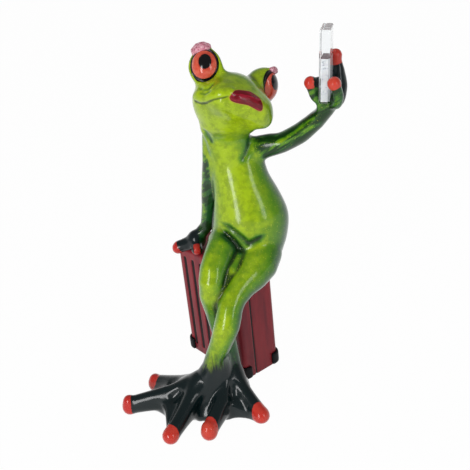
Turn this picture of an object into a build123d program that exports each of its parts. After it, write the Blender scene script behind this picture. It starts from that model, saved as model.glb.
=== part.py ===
from build123d import *
import os
from math import asin, cos, degrees, radians, sin

# A tree frog that sits on an upright travelling case, as the castings that it is glued up from.
# Millimetres, +Z up. The origin is the centre of the case's underside, and the frog faces -Y.
# Left and right are the frog's own: its left is towards +X.

# Travelling case
CASE_WIDTH = 45.2
CASE_DEPTH = 23.0
CASE_HEIGHT = 62.0
CASE_TURN = 52.8
CASE_WALL = 3.2
CASE_CORNER_RADIUS = 2.6
CASE_TOP_RADIUS = 1.8
GROOVE_WIDTH = 2.2
GROOVE_DEPTH = 1.0
GROOVE_TOP_MARGIN = 6.0
GROOVE_FOOT_MARGIN = 5.0
groove_shares = (-0.38, -0.24, -0.1, 0.04, 0.18, 0.32)
SEAM_WIDTH = 1.0
SEAM_DEPTH = 0.6
seam_place_share = -0.2
BASE_THICKNESS = 2.4
BASE_LEDGE = 1.4
BASE_CLEARANCE = 0.1
GUARD_HEIGHT = 7.5
GUARD_REACH = 5.0
GUARD_PROUD = 1.3
GUARD_ROUND = 1.1

# Torso, seated near the case's front end
SEAT_SETBACK = 5.8
SEAT_ASIDE = 4.8
TORSO_HEIGHT = 68.0
TORSO_WIDTH = 36.0
TORSO_DEPTH = 30.0
SPINE_SWAY = 5.0
TENON_RADIUS = 3.8
TENON_LENGTH = 2.4
TENON_CLEARANCE = 0.1
# Each section: height, half width, half depth, sway to the left, sway to the back
torso_shares = (
    (0.0, 0.36, 0.36, -0.2, 0.2),
    (0.06, 0.45, 0.43, -0.1, 0.1),
    (0.18, 0.495, 0.48, 0.1, 0.0),
    (0.33, 0.49, 0.5, 0.3, -0.1),
    (0.48, 0.425, 0.43, 0.1, 0.0),
    (0.62, 0.36, 0.365, -0.3, 0.1),
    (0.74, 0.335, 0.31, -0.5, 0.2),
    (0.84, 0.3, 0.28, -0.9, 0.1),
    (0.92, 0.26, 0.25, -1.3, -0.1),
    (1.0, 0.255, 0.26, -1.7, -0.4),
)

# Head, turned and tilted towards the phone
HEAD_TURN = 28.0
HEAD_TILT = 28.5
HEAD_LIFT = 20.0
HEAD_WIDTH = 35.0
HEAD_LENGTH = 31.0
HEAD_HEIGHT = 31.0
HEAD_RISE = 9.9
HEAD_AHEAD = 5.1
HEAD_ASIDE = 6.1
# Each section: height, half width, half length, shift to the left, shift to the back
head_shares = (
    (-0.42, 0.207, 0.27, 0.021, 0.26),
    (-0.32, 0.3, 0.37, 0.034, 0.17),
    (-0.18, 0.43, 0.46, 0.011, 0.06),
    (-0.04, 0.5, 0.5, 0.0, 0.0),
    (0.08, 0.485, 0.485, 0.0, 0.0),
    (0.24, 0.39, 0.41, 0.0, 0.02),
    (0.37, 0.26, 0.29, 0.0, 0.05),
    (0.44, 0.12, 0.15, 0.0, 0.06),
)
EYE_RADIUS = 7.0
EYE_SPREAD = 29.0
EYE_RISE = 12.9
EYE_SETBACK = 0.6
EYE_SPLAY = 36.0
EYE_DROP = 6.0
EYE_RIM = 2.0
MOUND_WALL = 0.9
mound_root_shares = (0.5, 0.25)
mound_neck_share = 0.8
LIP_WIDTH = 15.0
LIP_HEIGHT = 7.0
LIP_DEPTH = 4.0
# Each section of the lips: size, reach ahead of the face
lip_shares = ((1.0, -0.7), (0.95, -0.05), (0.6, 0.2))

# Phone, stood on edge in the raised hand
PHONE_LENGTH = 30.2
PHONE_WIDTH = 15.0
PHONE_THICKNESS = 4.5
PHONE_ROUND = 1.0
PHONE_TOP_ROUND = 0.6
PHONE_LEAN = 3.0
PHONE_TURN = 14.0
PHONE_LIFT = 2.8

# Arms
RAISED_REACH = 38.2
RAISED_AHEAD = 14.5
RAISED_RISE = 21.0
RAISED_RADIUS = 5.0
raised_root_shares = (-0.03, 0.04, 0.795)
# Each section: reach to the left, reach ahead, rise, radius
raised_shares = (
    (0.0, 0.0, 0.0, 1.1),
    (0.3, 0.1, 0.05, 0.94),
    (0.5, 0.25, 0.15, 0.87),
    (0.7, 0.48, 0.36, 0.82),
    (0.87, 0.75, 0.68, 0.75),
    (1.0, 1.0, 1.0, 0.75),
)
RESTING_RADIUS = 3.6
resting_root_shares = (-0.22, 0.05, 0.81)
# Each section: place between the shoulder and the wrist, bow to the right, radius
resting_shares = (
    (0.0, 0.0, 1.15),
    (0.1, 0.8, 1.1),
    (0.3, 1.0, 1.0),
    (0.52, 0.7, 1.0),
    (0.76, 0.3, 0.92),
    (1.0, 0.0, 0.9),
)
ARM_BOW = 4.0
WRIST_RISE = 12.0
wrist_case_shares = (-0.16, -0.1)

# Hands
PALM_RADIUS = 4.5
FINGER_RADIUS = 2.2
FINGERTIP_RADIUS = 3.0
PALM_RISE = 5.5
palm_case_shares = (-0.245, -0.3)
# Each resting finger: place along and across the case, then the tip's seat in its own radius
resting_finger_shares = ((-0.14, -0.46, 0.8), (-0.41, -0.6, 0.1))
# The raised hand's fingers, in the phone's thickness, width and length
raised_palm_shares = (0.15, 0.0, -0.02)
thumb_shares = ((-0.53, 0.0, -0.07), (-1.23, -0.1, 0.11), (-1.55, -0.12, 0.28))
front_finger_shares = ((0.75, -0.45, -0.02), (0.8, -0.7, 0.15), (0.37, -0.72, 0.31))
back_finger_shares = ((1.39, 0.2, -0.06), (1.81, 0.45, 0.13), (1.49, 0.47, 0.355), (1.12, 0.47, 0.555))

# Legs
THIGH_BOW = 5.0
SHIN_BOW = 4.0
THIGH_RADIUS = 9.4
SHIN_RADIUS = 5.8
LEFT_KNEE_ASIDE = 1.9
LEFT_KNEE_AHEAD = 13.5
LEFT_KNEE_DROP = 5.2
LEFT_ANKLE_ASIDE = 14.3
LEFT_ANKLE_AHEAD = 18.5
LEFT_ANKLE_HEIGHT = 27.0
RIGHT_KNEE_ASIDE = 11.0
RIGHT_KNEE_AHEAD = 9.0
RIGHT_KNEE_RISE = 1.5
RIGHT_ANKLE_ASIDE = 5.4
RIGHT_ANKLE_AHEAD = 13.0
RIGHT_ANKLE_HEIGHT = 17.0
left_hip_shares = (0.15, 0.02, 0.15)
right_hip_shares = (-0.28, 0.05, 0.17)
left_bow_shares = (1.0, 0.0, 0.0)
right_bow_shares = (0.1, -0.4, 1.0)
# Radii of the hip, mid thigh and knee, then of the calf, lower shin, ankle, instep and heel
left_thigh_shares = (1.19, 1.0, 0.62)
right_thigh_shares = (0.9, 0.76, 0.66)
shin_shares = (1.06, 0.9, 0.86, 1.25, 1.4)
shin_place_shares = (0.36, 0.7)
thigh_place_share = 0.5
instep_lead_share = 0.6
instep_height_share = 0.52
left_shin_bow_shares = (1.0, 0.6)
right_shin_bow_shares = (-1.0, -0.7)

# Feet
LEFT_FOOT_LENGTH = 37.0
RIGHT_FOOT_LENGTH = 27.5
LEFT_INSTEP_SHIFT = 6.5
RIGHT_INSTEP_SHIFT = 2.0
TOE_RADIUS = 3.0
TOETIP_RADIUS = 3.6
TOETIP_SINK = 0.5
WEB_THICKNESS = 2.2
INSTEP_HEIGHT = 20.0
HEEL_HEIGHT = 3.0
left_toe_angles = (138.0, 171.0, 232.0)
left_toe_shares = (0.88, 1.0, 0.71)
left_instep_angle = 180.0
right_toe_angles = (237.0, 300.0)
right_toe_shares = (1.0, 0.68)
right_instep_angle = 270.0
toe_middle_share = 0.5
toe_root_share = 0.42
toe_radius_shares = (1.5, 1.15, 1.0)
web_notch_share = 0.25
web_notch_radius_share = 0.5

# Dowels across the bonded joints
DOWEL_RADIUS = 1.2
DOWEL_LENGTH = 9.0
DOWEL_CLEARANCE = 0.05
left_hip_dowel_share = 0.75
right_hip_dowel_share = 0.55
raised_dowel_share = 0.8
resting_dowel_share = 1.1

OVERRUN = 1.0
LIMB_STEPS = 3


# Places that the pieces share

case_along = Vector(cos(radians(CASE_TURN)), -sin(radians(CASE_TURN)), 0)
case_across = Vector(sin(radians(CASE_TURN)), cos(radians(CASE_TURN)), 0)
up = Vector(0, 0, 1)
left = Vector(1, 0, 0)
back = Vector(0, 1, 0)
case_plane = Plane((0, 0, 0), x_dir=case_along, z_dir=up)
case_front_edge = case_along * (CASE_WIDTH / 2) - case_across * (CASE_DEPTH / 2)
seat = case_along * (CASE_WIDTH / 2 - SEAT_SETBACK) + case_across * SEAT_ASIDE + up * CASE_HEIGHT


def on_case(shares, rise):
    """A place over the case's top, in shares of its width and depth."""
    along_share, across_share = shares
    return case_along * (along_share * CASE_WIDTH) + case_across * (across_share * CASE_DEPTH) + up * (
        CASE_HEIGHT + rise
    )


def on_seat(aside, behind, height):
    """A place above the seat."""
    return seat + Vector(aside, behind, height)


def on_torso(shares):
    """A place in the torso, in shares of its width, depth and height."""
    side_share, back_share, height_share = shares
    return on_seat(side_share * TORSO_WIDTH, back_share * TORSO_DEPTH, height_share * TORSO_HEIGHT)


def before_case(aside, ahead, height):
    """A place to the right of the case's front edge and ahead of it."""
    return case_front_edge + Vector(-aside, -ahead, height)


def between(start, end, share):
    """The place at a share of the way from start to end."""
    return start + (end - start) * share


def smooth_course(values):
    """Values along a limb with more of them between, on a curve that passes through each."""
    course = []
    for index in range(len(values) - 1):
        start, end = values[index], values[index + 1]
        before = values[index - 1] if index else start
        after = values[index + 2] if index + 2 < len(values) else end
        for step in range(LIMB_STEPS):
            t = step / LIMB_STEPS
            slope_in = (end - before) * 0.5
            slope_out = (after - start) * 0.5
            bulge = slope_in * (t * (1 - t) ** 2) - slope_out * (t**2 * (1 - t))
            course.append(start + (end - start) * (t**2 * (3 - 2 * t)) + bulge)
    return course + [values[-1]]


def loft_limb(centres, radii, reference):
    """Loft round sections through the centres, each square to the limb's run."""
    centres = smooth_course(centres)
    last = len(centres) - 1
    sections = []
    across = reference.cross(centres[1] - centres[0])
    for index, (centre, radius) in enumerate(zip(centres, smooth_course(radii))):
        run = (centres[min(index + 1, last)] - centres[max(index - 1, 0)]).normalized()
        across = (across - run * across.dot(run)).normalized()
        with BuildSketch(Plane(centre, x_dir=across, z_dir=run)) as section:
            Circle(radius)
        sections.append(section.sketch)
    loft(sections, ruled=True)


def loft_body(rows, place, side, top):
    """Loft oval sections, from rows of height, half width, half depth, shift aside and shift back."""
    sections = []
    columns = [smooth_course(column) for column in zip(*rows)]
    for height, half_width, half_depth, aside, behind in zip(*columns):
        with BuildSketch(Plane(place(aside, behind, height), x_dir=side, z_dir=top)) as section:
            Ellipse(half_width, half_depth)
        sections.append(section.sketch)
    loft(sections, ruled=True)


def ball(centre, radius):
    """A round knob at a place."""
    with Locations(centre):
        Sphere(radius)


def finger(centres):
    """A finger that starts in the palm and ends in a round pad."""
    loft_limb(centres, [FINGER_RADIUS] * len(centres), case_across)
    ball(centres[-1], FINGERTIP_RADIUS)


def dowel_hole(dowel_plane):
    """The hole that a dowel fills, half in each of the two castings."""
    with Locations(dowel_plane):
        Cylinder(DOWEL_RADIUS + DOWEL_CLEARANCE, DOWEL_LENGTH + 2 * DOWEL_CLEARANCE, mode=Mode.SUBTRACT)


def dowel_place(centres, share):
    """A dowel's middle and direction, along the first run of a limb."""
    return Plane(between(centres[0], centres[1], share), z_dir=centres[1] - centres[0])


def save(builder, name):
    """Label a finished piece and write it."""
    builder.part.label = name
    export_step(builder.part, f"parts/{name}.step")


os.makedirs("parts", exist_ok=True)

# Case block, the plain outside that the hand, the seat and the guards fit against
with BuildPart() as case_block:
    with BuildSketch(case_plane):
        RectangleRounded(CASE_WIDTH, CASE_DEPTH, CASE_CORNER_RADIUS)
    extrude(amount=CASE_HEIGHT)
    fillet(case_block.faces().sort_by(Axis.Z)[-1].edges(), CASE_TOP_RADIUS)

# Case shell, hollow and open below, with ribbing grooves on its broad faces and a lid seam round it
cavity_width = CASE_WIDTH - 2 * CASE_WALL
cavity_depth = CASE_DEPTH - 2 * CASE_WALL
pocket_width = cavity_width + 2 * BASE_LEDGE
pocket_depth = cavity_depth + 2 * BASE_LEDGE
groove_length = CASE_HEIGHT - GROOVE_TOP_MARGIN - GROOVE_FOOT_MARGIN
groove_middle = GROOVE_FOOT_MARGIN + groove_length / 2
with BuildPart() as case_shell:
    add(case_block.part)
    with BuildSketch(case_plane):
        Rectangle(cavity_width, cavity_depth)
    extrude(amount=CASE_HEIGHT - CASE_WALL, mode=Mode.SUBTRACT)
    with BuildSketch(case_plane):
        Rectangle(pocket_width, pocket_depth)
    extrude(amount=BASE_THICKNESS, mode=Mode.SUBTRACT)
    for facing in (case_across, -case_across):
        face_plane = Plane(facing * (CASE_DEPTH / 2) + up * groove_middle, x_dir=up, z_dir=facing)
        with BuildSketch(face_plane):
            with Locations(*[(0, share * CASE_WIDTH) for share in groove_shares]):
                SlotOverall(groove_length, GROOVE_WIDTH)
        extrude(amount=-GROOVE_DEPTH, mode=Mode.SUBTRACT)
    seam_plane = Plane(case_across * (seam_place_share * CASE_DEPTH), x_dir=case_along, z_dir=case_across)
    with BuildSketch(seam_plane):
        Rectangle(CASE_WIDTH + 2 * OVERRUN, 2 * CASE_HEIGHT + 2 * OVERRUN)
        Rectangle(CASE_WIDTH - 2 * SEAM_DEPTH, 2 * CASE_HEIGHT - 2 * SEAM_DEPTH, mode=Mode.SUBTRACT)
    extrude(amount=SEAM_WIDTH / 2, both=True, mode=Mode.SUBTRACT)
    with BuildSketch(Plane(seat, z_dir=up)):
        Circle(TENON_RADIUS + TENON_CLEARANCE)
    extrude(amount=-TENON_LENGTH - TENON_CLEARANCE, mode=Mode.SUBTRACT)
save(case_shell, "case_shell")

# Case base, a plate glued up against the ledge
with BuildPart() as case_base:
    with BuildSketch(case_plane):
        Rectangle(pocket_width - 2 * BASE_CLEARANCE, pocket_depth - 2 * BASE_CLEARANCE)
    extrude(amount=BASE_THICKNESS)
save(case_base, "case_base")

# Corner guards, moulded round the case's bottom corners
guard_size = 2 * GUARD_REACH + 2 * GUARD_PROUD
guard_number = 0
for along_sign in (1, -1):
    for across_sign in (1, -1):
        guard_number += 1
        guard_centre = case_along * (along_sign * (CASE_WIDTH / 2 - GUARD_REACH)) + case_across * (
            across_sign * (CASE_DEPTH / 2 - GUARD_REACH)
        )
        with BuildPart() as guard:
            with BuildSketch(Plane(guard_centre, x_dir=case_along, z_dir=up)):
                RectangleRounded(guard_size, guard_size, CASE_CORNER_RADIUS + GUARD_PROUD)
            extrude(amount=GUARD_HEIGHT)
            fillet(guard.faces().sort_by(Axis.Z)[-1].edges(), GUARD_ROUND)
            add(case_block.part, mode=Mode.SUBTRACT)
            inner_plane = Plane(guard_centre, x_dir=up, z_dir=case_along * along_sign)
            split(bisect_by=inner_plane, keep=Keep.TOP)
            inner_plane = Plane(guard_centre, x_dir=up, z_dir=case_across * across_sign)
            split(bisect_by=inner_plane, keep=Keep.TOP)
        save(guard, f"case_guard_{guard_number}")

# Joints' places on the body, and the dowels that cross them
_, _, _, neck_left_share, neck_back_share = torso_shares[-1]
neck_top = on_seat(neck_left_share * SPINE_SWAY, neck_back_share * SPINE_SWAY, TORSO_HEIGHT)
head_centre = neck_top + Vector(HEAD_ASIDE, -HEAD_AHEAD, HEAD_RISE)
raised_root = on_torso(raised_root_shares)
resting_root = on_torso(resting_root_shares)
left_hip = on_torso(left_hip_shares)
right_hip = on_torso(right_hip_shares)
left_knee = before_case(LEFT_KNEE_ASIDE, LEFT_KNEE_AHEAD, CASE_HEIGHT - LEFT_KNEE_DROP)
right_knee = before_case(RIGHT_KNEE_ASIDE, RIGHT_KNEE_AHEAD, CASE_HEIGHT + RIGHT_KNEE_RISE)
left_ankle = before_case(LEFT_ANKLE_ASIDE, LEFT_ANKLE_AHEAD, LEFT_ANKLE_HEIGHT)
right_ankle = before_case(RIGHT_ANKLE_ASIDE, RIGHT_ANKLE_AHEAD, RIGHT_ANKLE_HEIGHT)

raised_centres = [
    raised_root + Vector(reach * RAISED_REACH, -ahead * RAISED_AHEAD, rise * RAISED_RISE)
    for reach, ahead, rise, _ in raised_shares
]
raised_radii = [radius * RAISED_RADIUS for _, _, _, radius in raised_shares]
resting_wrist = on_case(wrist_case_shares, WRIST_RISE)
resting_centres = [
    between(resting_root, resting_wrist, place) - left * (bow * ARM_BOW) for place, bow, _ in resting_shares
]
resting_radii = [radius * RESTING_RADIUS for _, _, radius in resting_shares]


def heading(angle):
    """The level direction at an angle from the frog's left towards its back."""
    return Vector(cos(radians(angle)), sin(radians(angle)), 0)


left_instep = heading(left_instep_angle) * LEFT_INSTEP_SHIFT
right_instep = heading(right_instep_angle) * RIGHT_INSTEP_SHIFT


def leg_course(hip, knee, ankle, bow_shares, shin_bow_shares, thigh_shares, instep):
    """Centres and radii of a leg from the hip to the heel."""
    thigh = between(hip, knee, thigh_place_share) + Vector(*bow_shares) * THIGH_BOW
    shins = [
        between(knee, ankle, place) - back * (bow * SHIN_BOW)
        for place, bow in zip(shin_place_shares, shin_bow_shares)
    ]
    flat_ankle = Vector(ankle.X, ankle.Y, 0)
    instep_top = flat_ankle + instep * instep_lead_share + up * (INSTEP_HEIGHT * instep_height_share)
    heel = flat_ankle + instep + up * HEEL_HEIGHT
    centres = [hip, thigh, knee, *shins, ankle, instep_top, heel]
    thigh_radii = [share * THIGH_RADIUS for share in thigh_shares]
    shin_radii = [share * SHIN_RADIUS for share in shin_shares]
    return centres, thigh_radii + shin_radii


left_centres, left_radii = leg_course(
    left_hip,
    left_knee,
    left_ankle,
    left_bow_shares,
    left_shin_bow_shares,
    left_thigh_shares,
    left_instep,
)
right_centres, right_radii = leg_course(
    right_hip,
    right_knee,
    right_ankle,
    right_bow_shares,
    right_shin_bow_shares,
    right_thigh_shares,
    right_instep,
)

left_hip_plane = dowel_place(left_centres, left_hip_dowel_share)
right_hip_plane = dowel_place(right_centres, right_hip_dowel_share)
raised_plane = dowel_place(raised_centres, raised_dowel_share)
resting_plane = dowel_place(resting_centres, resting_dowel_share)
neck_plane = Plane(neck_top, z_dir=up)

# Torso, flat where it sits, with a round tenon that drops into the case's top
torso_sizes = (TORSO_HEIGHT, TORSO_WIDTH, TORSO_DEPTH, SPINE_SWAY, SPINE_SWAY)
torso_rows = [[share * size for share, size in zip(row, torso_sizes)] for row in torso_shares]
with BuildPart() as torso_body:
    loft_body(torso_rows, on_seat, left, up)

with BuildPart() as torso:
    add(torso_body.part)
    with BuildSketch(Plane(seat, z_dir=up)):
        Circle(TENON_RADIUS)
    extrude(amount=-TENON_LENGTH)
    for plane in (left_hip_plane, right_hip_plane, raised_plane, resting_plane, neck_plane):
        dowel_hole(plane)
save(torso, "torso")

# Eyes, glossy domes glued to the flat fronts of the head's eye mounds
head_side = left * cos(radians(HEAD_TURN)) + back * sin(radians(HEAD_TURN))
level_back = back * cos(radians(HEAD_TURN)) - left * sin(radians(HEAD_TURN))
head_back = level_back * cos(radians(HEAD_LIFT)) - up * sin(radians(HEAD_LIFT))
lifted_up = up * cos(radians(HEAD_LIFT)) + level_back * sin(radians(HEAD_LIFT))
head_left = head_side * cos(radians(HEAD_TILT)) - lifted_up * sin(radians(HEAD_TILT))
head_up = lifted_up * cos(radians(HEAD_TILT)) + head_side * sin(radians(HEAD_TILT))


def on_head(to_left, to_back, to_top):
    """A place in the head's own turned and tilted frame."""
    return head_centre + head_left * to_left + head_back * to_back + head_up * to_top


mound_radius = EYE_RADIUS + MOUND_WALL
mounds = []
eye_seats = []
for side, name in ((1, "left_eye"), (-1, "right_eye")):
    eye_centre = on_head(side * EYE_SPREAD / 2, EYE_SETBACK, EYE_RISE)
    level_axis = head_left * (side * sin(radians(EYE_SPLAY))) - head_back * cos(radians(EYE_SPLAY))
    eye_axis = level_axis * cos(radians(EYE_DROP)) - head_up * sin(radians(EYE_DROP))
    eye_place = Plane(eye_centre, x_dir=head_up.cross(eye_axis), z_dir=eye_axis)
    with BuildPart() as eye:
        with Locations(eye_place):
            Sphere(EYE_RADIUS, arc_size1=degrees(asin(EYE_RIM / EYE_RADIUS)), align=None)
    with BuildPart() as mound:
        with Locations(eye_place):
            Sphere(mound_radius, arc_size2=degrees(asin(EYE_RIM / mound_radius)), align=None)
        root_side_share, root_rise_share = mound_root_shares
        mound_root = on_head(side * EYE_SPREAD / 2 * root_side_share, 0, EYE_RISE * root_rise_share)
        mound_neck = eye_centre - eye_axis * EYE_RIM
        loft_limb([mound_root, mound_neck], [mound_radius, mound_radius * mound_neck_share], head_back)
    save(eye, name)
    mounds.append(mound)
    eye_seats.append(eye_place.offset(EYE_RIM))

# Head, hollowed below over the neck, with a mound under each eye
head_sizes = (HEAD_HEIGHT, HEAD_WIDTH, HEAD_LENGTH, HEAD_WIDTH, HEAD_LENGTH)
seat_align = (Align.CENTER, Align.CENTER, Align.MIN)
head_rows = [[share * size for share, size in zip(row, head_sizes)] for row in head_shares]
with BuildPart() as head:
    loft_body(head_rows, on_head, head_left, head_up)
    for share, reach_share in lip_shares:
        section = on_head(0, -HEAD_LENGTH / 2 - reach_share * LIP_DEPTH, 0)
        with BuildSketch(Plane(section, x_dir=head_left, z_dir=-head_back)):
            Ellipse(share * LIP_WIDTH / 2, share * LIP_HEIGHT / 2)
    loft(ruled=True)
    for mound in mounds:
        add(mound.part)
    for eye_seat in eye_seats:
        with Locations(eye_seat):
            Cylinder(mound_radius, EYE_RADIUS, align=seat_align, mode=Mode.SUBTRACT)
    add(torso_body.part, mode=Mode.SUBTRACT)
    dowel_hole(neck_plane)
save(head, "head")

# Phone, a clear slab on edge
phone_lean = radians(PHONE_LEAN)
phone_up = Vector(sin(phone_lean), 0, cos(phone_lean))
phone_side = Vector(cos(phone_lean), 0, -sin(phone_lean))
phone_foot = raised_centres[-1] + up * PHONE_LIFT
phone_facing = heading(-PHONE_TURN) - phone_up * heading(-PHONE_TURN).dot(phone_up)
with BuildPart() as phone:
    with BuildSketch(Plane(phone_foot, x_dir=phone_facing, z_dir=phone_up)):
        RectangleRounded(PHONE_THICKNESS, PHONE_WIDTH, PHONE_ROUND)
    extrude(amount=PHONE_LENGTH)
    fillet(phone.faces().sort_by(Axis.Z)[-1].edges(), PHONE_TOP_ROUND)
save(phone, "phone")


def on_phone(shares):
    """A place in the phone's frame, in shares of its thickness, width and length."""
    side_share, back_share, length_share = shares
    return (
        phone_foot
        + phone_side * (side_share * PHONE_THICKNESS)
        + back * (back_share * PHONE_WIDTH)
        + phone_up * (length_share * PHONE_LENGTH)
    )


# Raised arm, whose fingers stand round the phone
raised_palm = on_phone(raised_palm_shares)
with BuildPart() as raised_arm:
    loft_limb(raised_centres, raised_radii, back)
    ball(raised_palm, PALM_RADIUS)
    for finger_shares in (thumb_shares, front_finger_shares, back_finger_shares):
        finger([raised_palm, *[on_phone(shares) for shares in finger_shares]])
    add(phone.part, mode=Mode.SUBTRACT)
    add(torso_body.part, mode=Mode.SUBTRACT)
    dowel_hole(raised_plane)
save(raised_arm, "raised_arm")

# Resting arm, its hand spread over the case's rear top corner
resting_palm = on_case(palm_case_shares, PALM_RISE)
with BuildPart() as resting_arm:
    loft_limb(resting_centres, resting_radii, back)
    ball(resting_palm, PALM_RADIUS)
    loft_limb([resting_wrist, resting_palm], [resting_radii[-1], resting_radii[-1]], back)
    ball(resting_wrist, resting_radii[-1])
    for finger_shares in resting_finger_shares:
        along_share, across_share, seat_share = finger_shares
        finger([resting_palm, on_case((along_share, across_share), seat_share * FINGERTIP_RADIUS)])
    add(case_block.part, mode=Mode.SUBTRACT)
    add(torso_body.part, mode=Mode.SUBTRACT)
    dowel_hole(resting_plane)
save(resting_arm, "resting_arm")


def foot_places(ankle, instep, toe_angles, toe_shares, foot_length):
    """The foot's root on the ground and the centres of its toes' round tips."""
    root = Vector(ankle.X, ankle.Y, 0) + instep
    tips = [
        root
        + heading(angle) * (share * foot_length)
        + up * (TOETIP_RADIUS - TOETIP_SINK)
        for angle, share in zip(toe_angles, toe_shares)
    ]
    return root, tips


def web_between(root, tip_a, tip_b):
    """A web that falls from the instep to two toes, with a hollow front edge."""
    feet = [Vector(tip.X, tip.Y, 0) for tip in (tip_a, tip_b)]
    tops = [foot + up * WEB_THICKNESS for foot in feet]
    span = (feet[0] - feet[1]).length
    middle = (feet[0] + feet[1]) / 2
    outward = (middle - root).normalized()
    with BuildPart() as web:
        ConvexPolyhedron([root, root + up * INSTEP_HEIGHT, *feet, *tops])
        with BuildSketch(Plane(middle + outward * (web_notch_share * span), z_dir=up)):
            Circle(web_notch_radius_share * span)
        extrude(amount=INSTEP_HEIGHT, mode=Mode.SUBTRACT)
    return web.part


def add_foot(root, tips, webs):
    """Toes with round tips, and the webs between them, on the foot's root."""
    for tip in tips:
        start = root + up * (INSTEP_HEIGHT * toe_root_share)
        knuckle = between(start, tip, toe_middle_share)
        loft_limb([start, knuckle, tip], [share * TOE_RADIUS for share in toe_radius_shares], up)
        ball(tip, TOETIP_RADIUS)
    for web in webs:
        add(web)
    split(bisect_by=Plane.XY, keep=Keep.TOP)


# Right leg, behind
right_root, right_tips = foot_places(
    right_ankle, right_instep, right_toe_angles, right_toe_shares, RIGHT_FOOT_LENGTH
)
right_webs = [web_between(right_root, *pair) for pair in zip(right_tips, right_tips[1:])]
with BuildPart() as right_leg:
    loft_limb(right_centres, right_radii, left)
    add_foot(right_root, right_tips, right_webs)
    add(torso_body.part, mode=Mode.SUBTRACT)
    add(case_block.part, mode=Mode.SUBTRACT)
    dowel_hole(right_hip_plane)
save(right_leg, "right_leg")

# Left leg, crossed in front of the right one
left_root, left_tips = foot_places(
    left_ankle, left_instep, left_toe_angles, left_toe_shares, LEFT_FOOT_LENGTH
)
left_webs = [web_between(left_root, *pair) for pair in zip(left_tips, left_tips[1:])]
with BuildPart() as left_leg:
    loft_limb(left_centres, left_radii, left)
    add_foot(left_root, left_tips, left_webs)
    add(torso_body.part, mode=Mode.SUBTRACT)
    add(case_block.part, mode=Mode.SUBTRACT)
    add(right_leg.part, mode=Mode.SUBTRACT)
    dowel_hole(left_hip_plane)
save(left_leg, "left_leg")

# Dowels, half in each casting
for plane, name in (
    (neck_plane, "neck_dowel"),
    (raised_plane, "raised_shoulder_dowel"),
    (resting_plane, "resting_shoulder_dowel"),
    (left_hip_plane, "left_hip_dowel"),
    (right_hip_plane, "right_hip_dowel"),
):
    with BuildPart() as dowel:
        with BuildSketch(plane.offset(-DOWEL_LENGTH / 2)):
            Circle(DOWEL_RADIUS)
        extrude(amount=DOWEL_LENGTH)
    save(dowel, name)
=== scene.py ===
from collections import namedtuple
from math import cos, pi, radians, sin

import bmesh
import bpy
import numpy as np
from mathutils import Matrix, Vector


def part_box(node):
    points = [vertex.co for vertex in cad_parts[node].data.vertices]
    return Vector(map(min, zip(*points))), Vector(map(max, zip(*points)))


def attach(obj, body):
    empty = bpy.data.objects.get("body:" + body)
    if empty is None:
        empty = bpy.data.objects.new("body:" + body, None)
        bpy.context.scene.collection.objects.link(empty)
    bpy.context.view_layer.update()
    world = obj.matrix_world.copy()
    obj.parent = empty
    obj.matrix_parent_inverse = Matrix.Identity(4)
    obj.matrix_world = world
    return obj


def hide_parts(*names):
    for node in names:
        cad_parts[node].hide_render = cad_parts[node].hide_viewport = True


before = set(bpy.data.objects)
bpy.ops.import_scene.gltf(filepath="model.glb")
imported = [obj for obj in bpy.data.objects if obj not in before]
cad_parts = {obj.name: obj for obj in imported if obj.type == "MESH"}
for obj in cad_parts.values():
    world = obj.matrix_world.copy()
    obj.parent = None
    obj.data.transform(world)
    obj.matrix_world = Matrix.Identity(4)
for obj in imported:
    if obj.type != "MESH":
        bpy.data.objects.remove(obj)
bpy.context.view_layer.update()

import openvdb
from bpy.props import FloatProperty, FloatVectorProperty, IntProperty, PointerProperty
from bpy.types import Operator, Panel, PropertyGroup
from mathutils import Matrix, Vector

bl_info = {
    "name": "Frog on a travelling case",
    "version": (1, 0, 0),
    "blender": (4, 5, 0),
    "location": "View3D > Sidebar > Frog",
    "description": "Dresses a cast frog, its case and its phone in lacquer, paint and acrylic",
    "category": "Object",
}

MM = 0.001
PHOTO_WIDTH = 470
UP = np.array((0.0, 0.0, 1.0))
WHITE = (1.0, 1.0, 1.0, 1.0)

# The castings under the skin, in the order of joining, with their soft passes and fillet's setting
BODY_CASTINGS = {
    "torso": (6, None),
    "head": (3, "neck_fillet"),
    "raised_arm": (2, "arm_fillet"),
    "resting_arm": (2, "arm_fillet"),
    "right_leg": (3, "leg_fillet"),
    "left_leg": (3, "leg_fillet"),
}
DOWELS = (
    "neck_dowel", "raised_shoulder_dowel", "resting_shoulder_dowel", "left_hip_dowel",
    "right_hip_dowel",
)
# Room left round the castings, and the fillet round the dowels, in millimetres
BODY_MARGIN, DOWEL_FILLET = 3.0, 1.0

# Places on the castings, in millimetres, +Z up, the frog facing -Y
HEAD = np.array((11.58, -17.58, 139.9))
HEAD_LEFT = np.array((0.8526, 0.2685, -0.4484))
HEAD_BACK = np.array((-0.4412, 0.8297, -0.342))
HEAD_UP = np.array((0.2802, 0.4894, 0.8258))

# Each eye's middle and the way it looks
EYES = {
    "left_eye": (np.array((27.29, -6.88, 143.85)), np.array((0.824, -0.5618, -0.0732))),
    "right_eye": (np.array((2.08, -14.56, 156.85)), np.array((-0.1727, -0.8757, 0.451))),
}
EYE_RIM = 6.25
EYE_TALL, EYE_WIDE = 1.13, 0.93
IRIS_TALL, IRIS_WIDE = 1.0, 0.9
# How far ahead of its middle an eye's skirt, seat, painted line, bead and dome lie
SKIRT_AHEAD, SEAT_AHEAD, LINE_AHEAD, BEAD_AHEAD, DOME_AHEAD = 1.2, 1.6, 1.9, 2.1, 2.6
DOME_SHARE = 0.95
DOME_STEPS, EYE_SEGMENTS = 40, 96
# How far each pupil stands above and aside of its eye's middle
PUPILS = {"left_eye": (2.0, 0.0), "right_eye": (0.95, 0.8)}
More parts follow.
